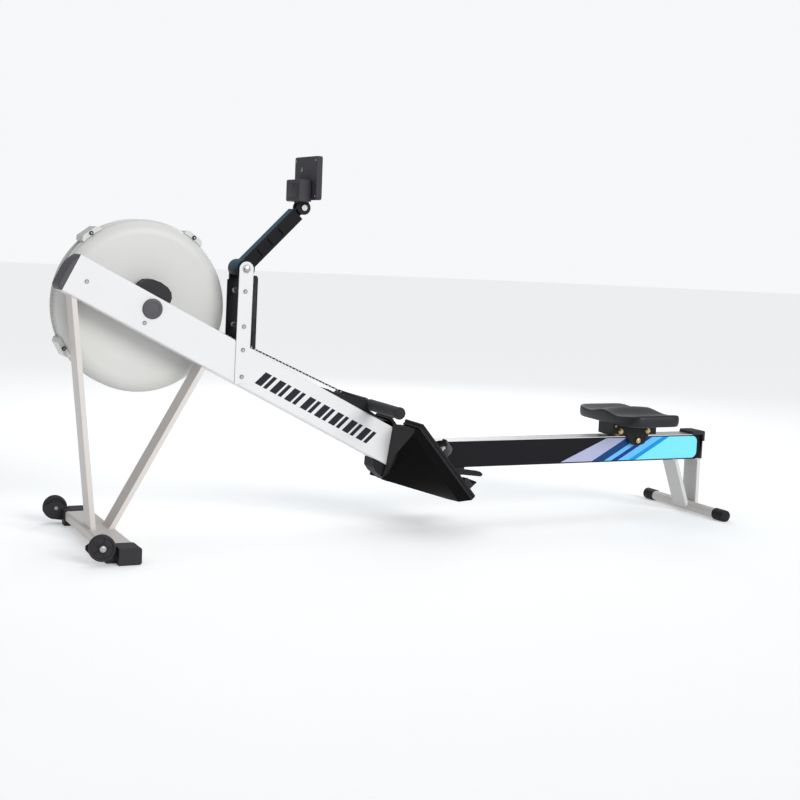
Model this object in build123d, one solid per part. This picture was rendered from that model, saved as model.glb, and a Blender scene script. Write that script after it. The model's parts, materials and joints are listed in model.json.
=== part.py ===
from build123d import *
import os
from math import cos, hypot, radians, sin, tan

# Air-resistance rowing machine.  Millimetres, +Z up, floor at Z = 0.
# The drawing datum has +X running from the fan end to the seat end, and +Y to the fan side.
# export() moves everything back along X, so that X = 0 is the middle of the overall length.

# ---- driving dimensions -------------------------------------------------------------------
GAP = 0.3                    # air left between pieces that move against each other
RUN_FIT = 0.05               # radial play of an axle in its bore
WALL = 2.0                   # wall of the steel box sections
PLATE = 4.0                  # sheet of the mast plates

# main beam: a rectangular tube that slopes down from the fan to the footrests
BEAM_X, BEAM_Z = -69.8, 877.8          # top front corner
BEAM_SLOPE = 27.3                      # degrees below the horizontal
BEAM_LONG, BEAM_DEEP, BEAM_WIDE = 1240.0, 120.7, 96.0
HALF_BEAM = BEAM_WIDE / 2
NOSE_BULGE, NOSE_CORNER, NOSE_EDGE = 18.0, 16.0, 7.0   # stand-out of the nose cap, and its two radii

# fan drum, on the far side of the beam
AXLE_X, AXLE_Z = 148.5, 720.0
DRUM_R = 265.5
DRUM_NEAR, DRUM_FAR = 52.0, 188.0
DRUM_SHEET = 2.0                       # sheet of the two covers
DRUM_SKIRT = 44.0                      # depth of each cover's rim
INTAKE_R = 120.0
AXLE_R = 8.5
SPROCKET_R, GUARD_R = 26.5, 52.0       # under the chain, and the guard plates beside it
CHAIN_THICK = 7.0
CHAIN_RISE = radians(2.75)             # the chain climbs out of the beam at this angle to it
CHAIN_END_S = 962.0

# front stand
BASE_X0, BASE_X1, BASE_TOP, BASE_BOTTOM = -38.0, 50.0, 48.0, 14.0
BASE_HALF, BASE_ROUND = 290.0, 8.0
LEG_WIDE, LEG_THICK = 80.0, 16.0
WHEEL_X, WHEEL_Z, WHEEL_R, WHEEL_WIDE, WHEEL_OUT = -60.0, 52.0, 39.0, 24.0, 327.0
WHEEL_BOLT_R = 6.0

# rail
RAIL_X0, RAIL_X1 = 1046.0, 2236.0
RAIL_TOP, RAIL_BOTTOM, RAIL_WIDE = 286.2, 195.0, 60.0
TRACK_THICK, TRACK_WIDE = 2.5, 78.0
TRACK_TOP = RAIL_TOP + TRACK_THICK
END_CAP_LONG = 46.0

# rear stand
REAR_FOOT_X, REAR_FOOT_Z, REAR_FOOT_HALF = 2206.0, 20.0, 235.0
REAR_TUBE_R, REAR_CAP_R = 18.0, 21.0

# seat carriage, at its resting place on the rail
SEAT_X, SEAT_HALF, SEAT_LONG = 1935.0, 186.0, 208.0
SEAT_LOW, SEAT_HIGH, SEAT_CROWN = 336.0, 380.0, 396.0
CARRIAGE_X0, CARRIAGE_X1 = 1840.0, 2022.0
ROLLER_R, ROLLER_LOW_R = 18.0, 13.0
UPPER_AXLE_R, LOWER_AXLE_R = 5.0, 4.0
ROLLER_XS = (1870.0, 1986.0)
LOW_ROLLER_X = 1944.0

# monitor mast and arm
PIVOT_X, PIVOT_Z, PIVOT_R = 444.0, 848.0, 7.0
TILT_X, TILT_Z, TILT_R = 640.0, 1045.0, 5.0
YOKE_TOP = 1064.0
SCREEN_X0, SCREEN_X1, SCREEN_LOW, SCREEN_TOP, SCREEN_HALF = 650.0, 669.0, 1070.0, 1206.0, 95.0

# footrests: one sloped plate each side of the rail
BOARD_TOP_X, BOARD_TOP_Z = 1010.0, 360.0
BOARD_LOW_X, BOARD_LOW_Z = 1214.0, 116.0
BOARD_IN, BOARD_OUT = 50.0, 175.0
BOARD_THICK = 10.0

# handle, and the line along which the chain pulls out
HANDLE_S, HANDLE_T = 1070.0, 30.4      # place in the beam's own axes: along, above the top face
HANDLE_HALF = 250.0


# ---- helpers ------------------------------------------------------------------------------
NODES = {}


def keep(name, solid):
    """File a finished piece, or a group of identical pieces, under its node name."""
    NODES[name] = solid


def slab(points, y0, y1):
    """Closed outline in the XZ plane, given thickness from y0 to y1."""
    face = make_face(Polyline([(x, y0, z) for x, z in points], close=True))
    return extrude(face, amount=y1 - y0, dir=(0, 1, 0))


def y_disc(x, z, radius, y0, y1):
    """Round bar lying along Y."""
    return Solid.make_cylinder(radius, y1 - y0, Plane(origin=(x, y0, z), z_dir=(0, 1, 0)))


def y_ring(x, z, outer, inner, y0, y1):
    """Tube lying along Y."""
    return y_disc(x, z, outer, y0, y1) - y_disc(x, z, inner, y0 - 1, y1 + 1)


def block(x0, x1, y0, y1, z0, z1):
    """Box between two corners."""
    return Pos((x0 + x1) / 2, (y0 + y1) / 2, (z0 + z1) / 2) * Box(x1 - x0, y1 - y0, z1 - z0)


def bar(start, end, thick, y0, y1):
    """Flat bar between two points of the XZ plane, thick measured across it."""
    (xa, za), (xb, zb) = start, end
    long = hypot(xb - xa, zb - za)
    nx, nz = -(zb - za) / long * thick / 2, (xb - xa) / long * thick / 2
    return slab([(xa + nx, za + nz), (xb + nx, zb + nz), (xb - nx, zb - nz), (xa - nx, za - nz)], y0, y1)


def both_sides(solid):
    """The piece and its mirror image across the machine's middle plane, as one group."""
    return Compound(children=[solid, mirror(solid, about=Plane.XZ)])


def far_side(solid):
    """Mirror image of a piece on the other side of the machine."""
    return mirror(solid, about=Plane.XZ)


def group(solids):
    return Compound(children=list(solids))


# ---- the beam's own axes: s runs down along the top face, t stands up from it ----------------
SX, SZ = cos(radians(BEAM_SLOPE)), -sin(radians(BEAM_SLOPE))
TX, TZ = -SZ, SX


def at_beam(s, t):
    """Datum X and Z of a point given along and above the beam's top face."""
    return BEAM_X + s * SX + t * TX, BEAM_Z + s * SZ + t * TZ


def along_beam(x, z):
    """The reverse: how far along and above the beam's top face a point lies."""
    dx, dz = x - BEAM_X, z - BEAM_Z
    return dx * SX + dz * SZ, dx * TX + dz * TZ


def beam_slab(points, y0, y1):
    """Outline given in the beam's axes, given thickness from y0 to y1."""
    return slab([at_beam(s, t) for s, t in points], y0, y1)


def beam_block(s0, s1, y0, y1, t0, t1):
    return beam_slab([(s0, t0), (s1, t0), (s1, t1), (s0, t1)], y0, y1)


AXLE_S, AXLE_T = along_beam(AXLE_X, AXLE_Z)


def chain_point(s, out):
    """A point of the chain's straight run at s, out from the parallel line through the axle, as (s, t)."""
    return s, AXLE_T + out / cos(CHAIN_RISE) + (s - AXLE_S) * tan(CHAIN_RISE)


CHAIN_MID = SPROCKET_R + CHAIN_THICK / 2
CHAIN_END_T = chain_point(CHAIN_END_S, CHAIN_MID)[1]


# ---- beam ---------------------------------------------------------------------------------
def main_beam():
    outer = beam_block(0, BEAM_LONG, -HALF_BEAM, HALF_BEAM, -BEAM_DEEP, 0)
    along = Axis((0, 0, 0), (SX, 0, SZ))
    outer = fillet(outer.edges().filter_by(along), 6)
    inner = beam_block(-1, BEAM_LONG + 1, -HALF_BEAM + WALL, HALF_BEAM - WALL, WALL - BEAM_DEEP, -WALL)
    beam = outer - inner
    slot = beam_block(AXLE_S - GUARD_R, GUIDE_S - 15, -11, 11, -WALL - 1, 1)
    bore = y_disc(AXLE_X, AXLE_Z, 17.5, -HALF_BEAM - 1, HALF_BEAM + 1)
    return beam - slot - bore


def beam_envelope():
    return beam_block(0, BEAM_LONG, -HALF_BEAM, HALF_BEAM, -BEAM_DEEP, 0)


def beam_front_cap():
    """Moulded nose that closes the upper end: it curves out from the top and is round at the bottom."""
    low_t = 0.5 - BEAM_DEEP
    turn = NOSE_CORNER * (1 - sin(radians(45)))
    outline = [(0, -0.5), (-11, -20), (-NOSE_BULGE, -49), (-NOSE_BULGE, low_t + NOSE_CORNER),
               (turn - NOSE_BULGE, low_t + turn), (NOSE_CORNER - NOSE_BULGE, low_t), (0, low_t)]
    top, swell, crest, turn_in, corner, turn_out, foot = [
        (at_beam(s, t)[0], 0, at_beam(s, t)[1]) for s, t in outline]
    edge = ThreePointArc(top, swell, crest) + Line(crest, turn_in) + ThreePointArc(turn_in, corner, turn_out)
    face = make_face(edge + Line(turn_out, foot) + Line(foot, top))
    nose = extrude(face, amount=HALF_BEAM - 1, dir=(0, 1, 0), both=True)
    rims = [rim for rim in nose.edges() if abs(rim.center().Y) > HALF_BEAM - 1.5]
    nose = fillet([rim for rim in rims if along_beam(rim.center().X, rim.center().Z)[0] < -2], NOSE_EDGE)
    plug = beam_block(0, 22, WALL - HALF_BEAM, HALF_BEAM - WALL, WALL - BEAM_DEEP, -WALL)
    return nose + plug


def beam_tail_cap():
    """Dark moulding round the underside of the beam's lower end."""
    return beam_slab([(1164, -BEAM_DEEP), (1240, -BEAM_DEEP), (1249, -150), (1245, -168), (1196, -158),
                      (1176, -148)], -42, 42)


def frame_bolts():
    """Every screw that holds the static frame together, and the bolts the arm and wheels turn on."""
    face = -HALF_BEAM
    bolts = [y_disc(x, z, 4.5, face - 2.5, face) for x, z in ((-52.0, 798.0), (125.0, 677.0))]
    for x, z in ((437, 512), (439, 596)):
        bolts.append(y_disc(x, z, 5, face - 7, face - PLATE))
    for x, z in ((440, 669), (441.5, 778)):
        bolts.append(y_disc(x, z, 5, face - 7, face - PLATE) + y_disc(x, z, 6, face, -face))
    pivot = y_disc(PIVOT_X, PIVOT_Z, PIVOT_R, face, -face)
    bolts.append(pivot + y_disc(PIVOT_X, PIVOT_Z, 5, face - PLATE, face))
    bolts.append(y_disc(PIVOT_X, PIVOT_Z, 9, face - PLATE - 5, face - PLATE))
    for x, z in ((1096, 262), (1164, 262)):
        head = y_disc(x, z, 7, RAIL_WIDE / 2 + 5, RAIL_WIDE / 2 + 11)
        bolts += [head, far_side(head)]
    shank = y_disc(WHEEL_X, WHEEL_Z, WHEEL_BOLT_R, -WHEEL_OUT - GAP, -BASE_HALF - 4)
    wheel_bolt = shank + y_disc(WHEEL_X, WHEEL_Z, 9, -WHEEL_OUT - 4.5, -WHEEL_OUT - GAP)
    bolts += [wheel_bolt, far_side(wheel_bolt)]
    cross_bar = beam_block(CORD_S1, CORD_S1 + 14, WALL - HALF_BEAM, HALF_BEAM - WALL,
                           CORD_T - 10, CORD_T + 10)
    return group(bolts + [cross_bar])


# ---- fan drum -----------------------------------------------------------------------------
def drum_profile(radii_and_y):
    """Ring of revolution about the axle from an outline of (radius, y) points."""
    face = make_face(Polyline([(AXLE_X + r, y, AXLE_Z) for r, y in radii_and_y], close=True))
    return revolve(face, axis=Axis((AXLE_X, 0, AXLE_Z), (0, 1, 0)))


def sheet_ring(edge, inward):
    """Ring pressed from sheet: its outer edge as (radius, y) points, thickened to one side."""
    normals = []
    for (r0, y0), (r1, y1) in zip(edge, edge[1:]):
        long = hypot(r1 - r0, y1 - y0)
        normals.append((inward * (y0 - y1) / long, inward * (r1 - r0) / long))
    inner = []
    for (r, y), (ra, ya), (rb, yb) in zip(edge, normals[:1] + normals, normals + normals[-1:]):
        reach = DRUM_SHEET / (1 + ra * rb + ya * yb)
        inner.append((r + (ra + rb) * reach, y + (ya + yb) * reach))
    return drum_profile(edge + inner[::-1])


def fan_cover_near():
    """Smooth pressed disc that faces the beam, with a deep rolled rim."""
    near = DRUM_NEAR
    edge = [(22, near), (DRUM_R - 44, near), (DRUM_R - 21, near + 5), (DRUM_R - 8, near + 15),
            (DRUM_R, near + 32), (DRUM_R, near + DRUM_SKIRT)]
    spacer = y_ring(AXLE_X, AXLE_Z, 40, 22, HALF_BEAM, DRUM_NEAR)
    return sheet_ring(edge, 1) + spacer


def fan_cage_band():
    """Cylindrical band between the two covers, where the air leaves."""
    outer = DRUM_R - DRUM_SHEET - 0.1
    return y_ring(AXLE_X, AXLE_Z, outer, outer - 2, DRUM_NEAR + DRUM_SKIRT - 8, DRUM_FAR - DRUM_SKIRT + 8)


def fan_cover_far():
    """Far cover: a rolled rim, a flat ring and the spoked grille over the air intake."""
    far = DRUM_FAR
    edge = [(INTAKE_R, far), (DRUM_R - 34, far), (DRUM_R - 14, far - 6), (DRUM_R - 4, far - 16),
            (DRUM_R, far - 32), (DRUM_R, far - DRUM_SKIRT)]
    y0, y1 = far - 3, far + 1
    cover = sheet_ring(edge, -1)
    cover += y_ring(AXLE_X, AXLE_Z, INTAKE_R + 1, 110, y0, y1)
    cover += y_ring(AXLE_X, AXLE_Z, 76, 70, y0, y1)
    cover += y_disc(AXLE_X, AXLE_Z, 30, y0, y1)
    spoke = block(AXLE_X + 28, AXLE_X + 112, y0, y1, AXLE_Z - 2, AXLE_Z + 2)
    for i in range(12):
        cover += spoke.rotate(Axis((AXLE_X, 0, AXLE_Z), (0, 1, 0)), i * 30)
    clip = block(AXLE_X + 134, AXLE_X + 144, far - 1, far + 7.5, AXLE_Z - 6, AXLE_Z + 6)
    clip += block(AXLE_X + 127, AXLE_X + 135, far + 4.8, far + 7.5, AXLE_Z - 6, AXLE_Z + 6)
    for angle in (60, 120, 180, 240, 300):
        cover += clip.rotate(Axis((AXLE_X, 0, AXLE_Z), (0, 1, 0)), angle)
    return cover


def damper_shutter():
    """Ring behind the grille that opens or closes the intake, with its lever past the rim."""
    y0, y1 = DRUM_FAR + 1.4, DRUM_FAR + 4.4
    ring = y_ring(AXLE_X, AXLE_Z, 132, 121, y0, y1)
    lever = slab([(AXLE_X + 126, AXLE_Z - 9), (AXLE_X + 176, AXLE_Z - 7),
                  (AXLE_X + 176, AXLE_Z + 7), (AXLE_X + 126, AXLE_Z + 9)], y0, y1)
    tab = y_disc(AXLE_X + 180, AXLE_Z, 12, y0, y1 + 9)
    return (ring + lever + tab).rotate(Axis((AXLE_X, 0, AXLE_Z), (0, 1, 0)), -20)


def cage_clamps():
    """Four clamps round the rim that pull the two covers together."""
    near, far, high, half = DRUM_NEAR + 24, DRUM_FAR - 24, 15, 34
    clamps = []
    for angle in (53, 126, 209, 316):
        body = block(AXLE_X + DRUM_R - 4, AXLE_X + DRUM_R + high, near, far, AXLE_Z - half, AXLE_Z + half)
        body = chamfer(body.edges().filter_by(Axis.Y).sort_by(Axis.X)[-2:], 10)
        body -= y_disc(AXLE_X, AXLE_Z, DRUM_R + 0.02, 0, 300)
        screw = y_disc(AXLE_X + DRUM_R + 7, AXLE_Z, 5, near - 5, near)
        clamps.append((body + screw).rotate(Axis((AXLE_X, 0, AXLE_Z), (0, 1, 0)), -angle))
    return group(clamps)


def flywheel_fan():
    """Steel disc with radial blades, keyed to the axle."""
    fan = y_disc(AXLE_X, AXLE_Z, 205, 110, 115) + y_disc(AXLE_X, AXLE_Z, 28, 84, 142)
    blade = block(AXLE_X + 100, AXLE_X + 240, 82, 158, AXLE_Z - 1.5, AXLE_Z + 1.5)
    for i in range(16):
        fan += blade.rotate(Axis((AXLE_X, 0, AXLE_Z), (0, 1, 0)), i * 22.5)
    return fan - y_disc(AXLE_X, AXLE_Z, AXLE_R, 60, 160)


def flywheel_axle():
    return y_disc(AXLE_X, AXLE_Z, AXLE_R, -46, 150)


def axle_bearings():
    """One bearing in each wall of the beam."""
    return group(y_ring(AXLE_X, AXLE_Z, 17.5, AXLE_R + RUN_FIT, y0, y0 + 11)
                 for y0 in (-HALF_BEAM, HALF_BEAM - 11))


def axle_cap():
    """Round cap over the near end of the axle."""
    cap = y_disc(AXLE_X, AXLE_Z, 31, -HALF_BEAM - 7, -HALF_BEAM)
    return chamfer(cap.edges().group_by(Axis.Y)[0], 2.5)


def sprocket():
    """Chain wheel between two guard plates, with the one-way clutch in its hub."""
    teeth = 14
    wheel = y_disc(AXLE_X, AXLE_Z, SPROCKET_R - 4, -7, 7)
    tooth = slab([(AXLE_X + SPROCKET_R - 6, AXLE_Z - 4), (AXLE_X + SPROCKET_R - 0.5, AXLE_Z - 1.5),
                  (AXLE_X + SPROCKET_R - 0.5, AXLE_Z + 1.5), (AXLE_X + SPROCKET_R - 6, AXLE_Z + 4)], -3, 3)
    for i in range(teeth):
        wheel += tooth.rotate(Axis((AXLE_X, 0, AXLE_Z), (0, 1, 0)), i * 360 / teeth)
    guard = y_disc(AXLE_X, AXLE_Z, GUARD_R, 7, 9)
    for i in range(6):
        hole = y_disc(AXLE_X + 40, AXLE_Z, 7, 6, 10)
        guard -= hole.rotate(Axis((AXLE_X, 0, AXLE_Z), (0, 1, 0)), i * 60)
    wheel += guard + far_side(guard)
    return wheel - y_disc(AXLE_X, AXLE_Z, AXLE_R + RUN_FIT, -20, 20)


def hub_cover():
    """Hood over the part of the guard plates that stands above the beam."""
    outline = [(204, 0), (206, 15), (214, 31), (230, 41), (257, 45), (284, 42), (301, 33), (311, 18),
               (313, 0)]
    inside = [(209, -1), (211, 13), (218, 27), (232, 36), (257, 40), (282, 37), (297, 29), (306, 16),
              (308, -1)]
    return beam_slab(outline, -27, 27) - beam_slab(inside, -22, 22)


def drive_chain():
    """Chain from the handle link, round the sprocket and back inside the beam to the cord block."""
    inner, outer = SPROCKET_R, SPROCKET_R + CHAIN_THICK
    start = AXLE_S - CHAIN_MID * sin(CHAIN_RISE)
    run = beam_slab([chain_point(start, inner), chain_point(CHAIN_END_S, inner),
                     chain_point(CHAIN_END_S, outer), chain_point(start, outer)], -4, 4)
    wrap = y_ring(AXLE_X, AXLE_Z, outer, inner, -4, 4)
    wrap -= beam_block(AXLE_S, AXLE_S + 100, -10, 10, AXLE_T - 100, AXLE_T + 100)
    back = beam_block(AXLE_S, CORD_S0, -4, 4, AXLE_T - outer, AXLE_T - inner)
    return run + wrap + back


CORD_S0, CORD_S1 = AXLE_S + 262, AXLE_S + 854
CORD_T = AXLE_T - CHAIN_MID


def return_cord():
    """Elastic cord that pulls the handle back, run straight down the inside of the beam."""
    x, z = at_beam(CORD_S0 + 34, CORD_T)
    cord = Solid.make_cylinder(4.5, CORD_S1 - CORD_S0 - 34, Plane(origin=(x, 0, z), z_dir=(SX, 0, SZ)))
    return cord + beam_block(CORD_S0, CORD_S0 + 36, -9, 9, CORD_T - 8, CORD_T + 8)


GUIDE_S, GUIDE_R, GUIDE_PIN_R = 575.0, 14.0, 3.0
GUIDE_T = chain_point(GUIDE_S, SPROCKET_R + CHAIN_THICK + GAP + GUIDE_R)[1]


def guide_roller():
    """Roller over the chain at the foot of the mast: it holds the chain down when the handle is lifted."""
    x, z = at_beam(GUIDE_S, GUIDE_T)
    return y_ring(x, z, GUIDE_R, GUIDE_PIN_R + RUN_FIT, -9, 9)


def guide_axle():
    """Axle of the guide roller and the two ears that carry it, with a foot outside each."""
    x, z = at_beam(GUIDE_S, GUIDE_T)
    pin = y_disc(x, z, GUIDE_PIN_R, -16, 16)
    ear = beam_slab([(GUIDE_S - 12, 0), (GUIDE_S + 12, 0), (GUIDE_S + 7, GUIDE_T + 7),
                     (GUIDE_S - 7, GUIDE_T + 7)], 10, 13)
    foot = beam_block(GUIDE_S - 12, GUIDE_S + 12, 10, 24, 0, 1.5)
    side = ear + foot
    return pin + side + far_side(side)


# ---- front stand --------------------------------------------------------------------------
def base_tube():
    outer = block(BASE_X0, BASE_X1, -BASE_HALF, BASE_HALF, BASE_BOTTOM, BASE_TOP)
    outer = fillet(outer.edges().filter_by(Axis.Y), BASE_ROUND)
    inner = block(BASE_X0 + WALL, BASE_X1 - WALL, -400, 400, BASE_BOTTOM + WALL, BASE_TOP - WALL)
    inner = fillet(inner.edges().filter_by(Axis.Y), BASE_ROUND - WALL)
    return outer - inner


def base_cap():
    """Moulded end shoe: it sleeves the tube, stands on the floor and reaches out beside the wheel."""
    end, out = -BASE_HALF, -BASE_HALF - 10
    shoe = block(BASE_X0 - 3, BASE_X1 + 3, end - 4, end + 34, 0, BASE_TOP + 3)
    shoe += block(-14, BASE_X1 + 3, -332, end - 4, 0, BASE_TOP + 3)
    shoe = fillet(shoe.edges().filter_by(Axis.Y).sort_by(Axis.X)[-2:], 8)
    shoe += slab([(-14, 8), (-14, 51), (WHEEL_X - 4, 76), (WHEEL_X - 32, 64), (WHEEL_X - 43, 57),
                  (WHEEL_X - 43, 45), (WHEEL_X - 30, 30), (WHEEL_X - 4, 16)], out, end - 4)
    socket = block(BASE_X0, BASE_X1, end, 0, BASE_BOTTOM, BASE_TOP)
    shoe -= fillet(socket.edges().filter_by(Axis.Y), BASE_ROUND)
    return shoe - y_disc(WHEEL_X, WHEEL_Z, WHEEL_BOLT_R, -400, 0)


def transport_wheel():
    outer, inner = -WHEEL_OUT, -WHEEL_OUT + WHEEL_WIDE
    wheel = y_disc(WHEEL_X, WHEEL_Z, WHEEL_R, outer, inner)
    wheel = fillet(wheel.edges(), 3)
    wheel -= y_ring(WHEEL_X, WHEEL_Z, 31, 13, outer - 1, outer + 3)
    return wheel - y_disc(WHEEL_X, WHEEL_Z, WHEEL_BOLT_R + RUN_FIT, outer - 1, inner + 1)


def strut(low, high, thick, wide, cuts):
    """Rectangular tube between two points, trimmed by what it is welded to."""
    outer = bar(low, high, thick, -wide / 2, wide / 2)
    for cut in cuts:
        outer -= cut
    inner = bar(low, high, thick - 2 * WALL, WALL - wide / 2, wide / 2 - WALL)
    tube = outer - inner
    return max(tube.solids(), key=lambda solid: solid.volume)


def front_leg():
    return strut((-18, 40), (-92, 800), LEG_THICK, LEG_WIDE, [beam_envelope(), base_envelope()])


def rear_strut():
    return strut((34, 40), (334, 570), LEG_THICK, LEG_WIDE, [beam_envelope(), base_envelope()])


def base_envelope():
    return block(BASE_X0, BASE_X1, -BASE_HALF, BASE_HALF, BASE_BOTTOM, BASE_TOP)


# ---- monitor mast and arm -----------------------------------------------------------------
def mast_plate_near():
    """Flat plate bolted to the near face of the beam, round at its upper end."""
    y0, y1 = -HALF_BEAM - 4, -HALF_BEAM
    plate = slab([(414, 490), (460, 490), (467, PIVOT_Z), (421, PIVOT_Z)], y0, y1)
    plate += y_disc(PIVOT_X, PIVOT_Z, 23, y0, y1)
    return plate - y_disc(PIVOT_X, PIVOT_Z, 5, y0 - 1, y1 + 1)


def mast_channel():
    """Channel bolted to the far face of the beam: a wide side and a narrow return flange."""
    y0, y1 = HALF_BEAM, HALF_BEAM + 4
    side = slab([(413, 560), (500, 540), (503, 818), (494, 828), (452, 812), (416, 812)], y0, y1)
    flange = slab([(496.5, 596), (500.5, 594), (503, 818), (499, 826)], 6, y0)
    ear = slab([(421, 800), (467, 800), (467, PIVOT_Z), (421, PIVOT_Z)], y0, y1)
    ear += y_disc(PIVOT_X, PIVOT_Z, 23, y0, y1)
    return side + flange + ear


def monitor_arm():
    """Moulded arm with weight-saving pockets, and a clamp ring at each end."""
    arm = bar((PIVOT_X, PIVOT_Z), (TILT_X - 20, TILT_Z - 20), 44, -22, 22)
    for i in range(3):
        x = 488 + 34 * i
        z = PIVOT_Z + (x - PIVOT_X)
        pocket = bar((x - 9, z - 9), (x + 9, z + 9), 26, -23, -16)
        arm = arm - pocket - far_side(pocket)
    hub = y_disc(PIVOT_X, PIVOT_Z, 29, -45, 45)
    tip = bar((TILT_X - 40, TILT_Z - 40), (TILT_X, TILT_Z), 24, -10, 10)
    tip += y_disc(TILT_X, TILT_Z, 13, -10, 10)
    solid = arm + hub + tip
    solid -= y_disc(PIVOT_X, PIVOT_Z, PIVOT_R + RUN_FIT, -60, 60)
    return solid - y_disc(TILT_X, TILT_Z, TILT_R + RUN_FIT, -60, 60)


def tilt_bolt():
    """Bolt through the yoke on which the monitor tilts."""
    shank = y_disc(TILT_X, TILT_Z, TILT_R, -22, 22)
    head = y_disc(TILT_X, TILT_Z, 10, -27, -22) + y_disc(TILT_X, TILT_Z, 10, 22, 27)
    return shank + head


def monitor_yoke():
    """Two cheeks on the tilt bolt that carry the monitor."""
    cheek = y_disc(TILT_X, TILT_Z, 22, 10.4, 22)
    neck = block(TILT_X - 16, TILT_X + 16, 10.4, 22, TILT_Z, YOKE_TOP)
    side = cheek + neck
    bridge = block(TILT_X - 18, TILT_X + 10, -22, 22, YOKE_TOP - 4.5, YOKE_TOP)
    side -= block(TILT_X - 30, TILT_X + 30, 0, 40, YOKE_TOP, YOKE_TOP + 20)
    yoke = side + far_side(side) + bridge
    return yoke - y_disc(TILT_X, TILT_Z, TILT_R, -60, 60)


def monitor_body():
    """Flat case of the monitor, with a window for the screen on the face towards the rower."""
    case = block(SCREEN_X0, SCREEN_X1, -SCREEN_HALF, SCREEN_HALF, SCREEN_LOW, SCREEN_TOP)
    case = fillet(case.edges().filter_by(Axis.X), 9)
    window = block(SCREEN_X1 - 3, SCREEN_X1 + 1, -66, 66, 1112, 1192)
    case -= window
    for y in KEY_YS:
        case -= block(SCREEN_X1 - 6, SCREEN_X1 + 1, y - 11, y + 11, KEY_Z - 7, KEY_Z + 7)
    return case


KEY_YS = (-40.0, 0.0, 40.0)
KEY_Z = 1090.0


def monitor_key(y):
    """Push key: its cap stands 2 mm out of the case."""
    return block(SCREEN_X1 - 3.5, SCREEN_X1 + 2, y - 10.6, y + 10.6, KEY_Z - 6.6, KEY_Z + 6.6)


def screen_panel():
    return block(SCREEN_X1 - 3, SCREEN_X1 - 0.6, -66, 66, 1112, 1192)


def battery_box():
    """Smaller box on the back of the monitor."""
    box = block(607, SCREEN_X0, -57, 57, YOKE_TOP, 1133)
    return fillet(box.edges().filter_by(Axis.Y).sort_by(Axis.X)[:2], 6)


# ---- handle -------------------------------------------------------------------------------
HANDLE_X, HANDLE_Z = at_beam(HANDLE_S, HANDLE_T)
HANDLE_BAR_R, GRIP_R = 10.0, 19.0


def handle_bar():
    return y_disc(HANDLE_X, HANDLE_Z, HANDLE_BAR_R, -HANDLE_HALF + 4, HANDLE_HALF - 4)


def handle_grips():
    """Padded grip on each half of the bar, closed by its end cap."""
    grip = y_disc(HANDLE_X, HANDLE_Z, GRIP_R, 22, HANDLE_HALF - 8)
    cap = y_disc(HANDLE_X, HANDLE_Z, GRIP_R + 1, HANDLE_HALF - 8, HANDLE_HALF + 4)
    grip += fillet(cap.edges().group_by(Axis.Y)[-1], 5)
    return both_sides(grip - y_disc(HANDLE_X, HANDLE_Z, HANDLE_BAR_R, 0, HANDLE_HALF - 4))


def handle_yoke():
    """Clamp round the middle of the bar, with a tongue to the chain."""
    clamp = y_ring(HANDLE_X, HANDLE_Z, 16, HANDLE_BAR_R, -20, 20)
    tongue = beam_slab([(CHAIN_END_S + 4, CHAIN_END_T - 5), (HANDLE_S - 12, HANDLE_T - 10),
                        (HANDLE_S - 8, HANDLE_T + 10), (CHAIN_END_S + 4, CHAIN_END_T + 5)], -7, 7)
    return clamp + (tongue - y_disc(HANDLE_X, HANDLE_Z, HANDLE_BAR_R, -10, 10))


def handle_holder():
    """Cradle on the beam where the handle is parked: a base and a shaped rib under each grip."""
    base = beam_block(905, 1098, -40, 40, 0, 7)
    seat_t = HANDLE_T - GRIP_R - GAP
    rib = beam_slab([(925, 7), (1098, 7), (1092, 9), (HANDLE_S + 8, seat_t), (HANDLE_S - 9, seat_t),
                     (HANDLE_S - 19, HANDLE_T + 2), (HANDLE_S - 36, HANDLE_T + 2)], 30, 40)
    rib -= y_disc(HANDLE_X, HANDLE_Z, GRIP_R + GAP, 0, 60)
    return base + rib + far_side(rib)


# ---- footrests ----------------------------------------------------------------------------
BOARD_LONG = hypot(BOARD_LOW_X - BOARD_TOP_X, BOARD_LOW_Z - BOARD_TOP_Z)
DX, DZ = (BOARD_LOW_X - BOARD_TOP_X) / BOARD_LONG, (BOARD_LOW_Z - BOARD_TOP_Z) / BOARD_LONG
NX, NZ = -DZ, DX


def at_board(down, out):
    """Point of the footrest, measured down its front face and out towards the rower."""
    return BOARD_TOP_X + down * DX + out * NX, BOARD_TOP_Z + down * DZ + out * NZ


def board_block(d0, d1, o0, o1, y0, y1):
    return slab([at_board(d0, o0), at_board(d1, o0), at_board(d1, o1), at_board(d0, o1)], y0, y1)


def foot_board():
    """Ribbed foot plate with a raised rim and a slot for the strap."""
    board = board_block(0, BOARD_LONG, -BOARD_THICK, 0, -BOARD_OUT, -BOARD_IN)
    board += board_block(0, BOARD_LONG, 0, 6, -BOARD_OUT, -BOARD_OUT + 5)
    slot0, slot1 = STRAP_DOWN - STRAP_WIDE / 2 - 2, STRAP_DOWN + STRAP_WIDE / 2 + 2
    board -= board_block(slot0, slot1, -20, 4, -BOARD_OUT + 9, -BOARD_OUT + 14)
    board -= board_block(slot0, slot1, -20, 4, -BOARD_IN - 14, -BOARD_IN - 9)
    return board


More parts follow.
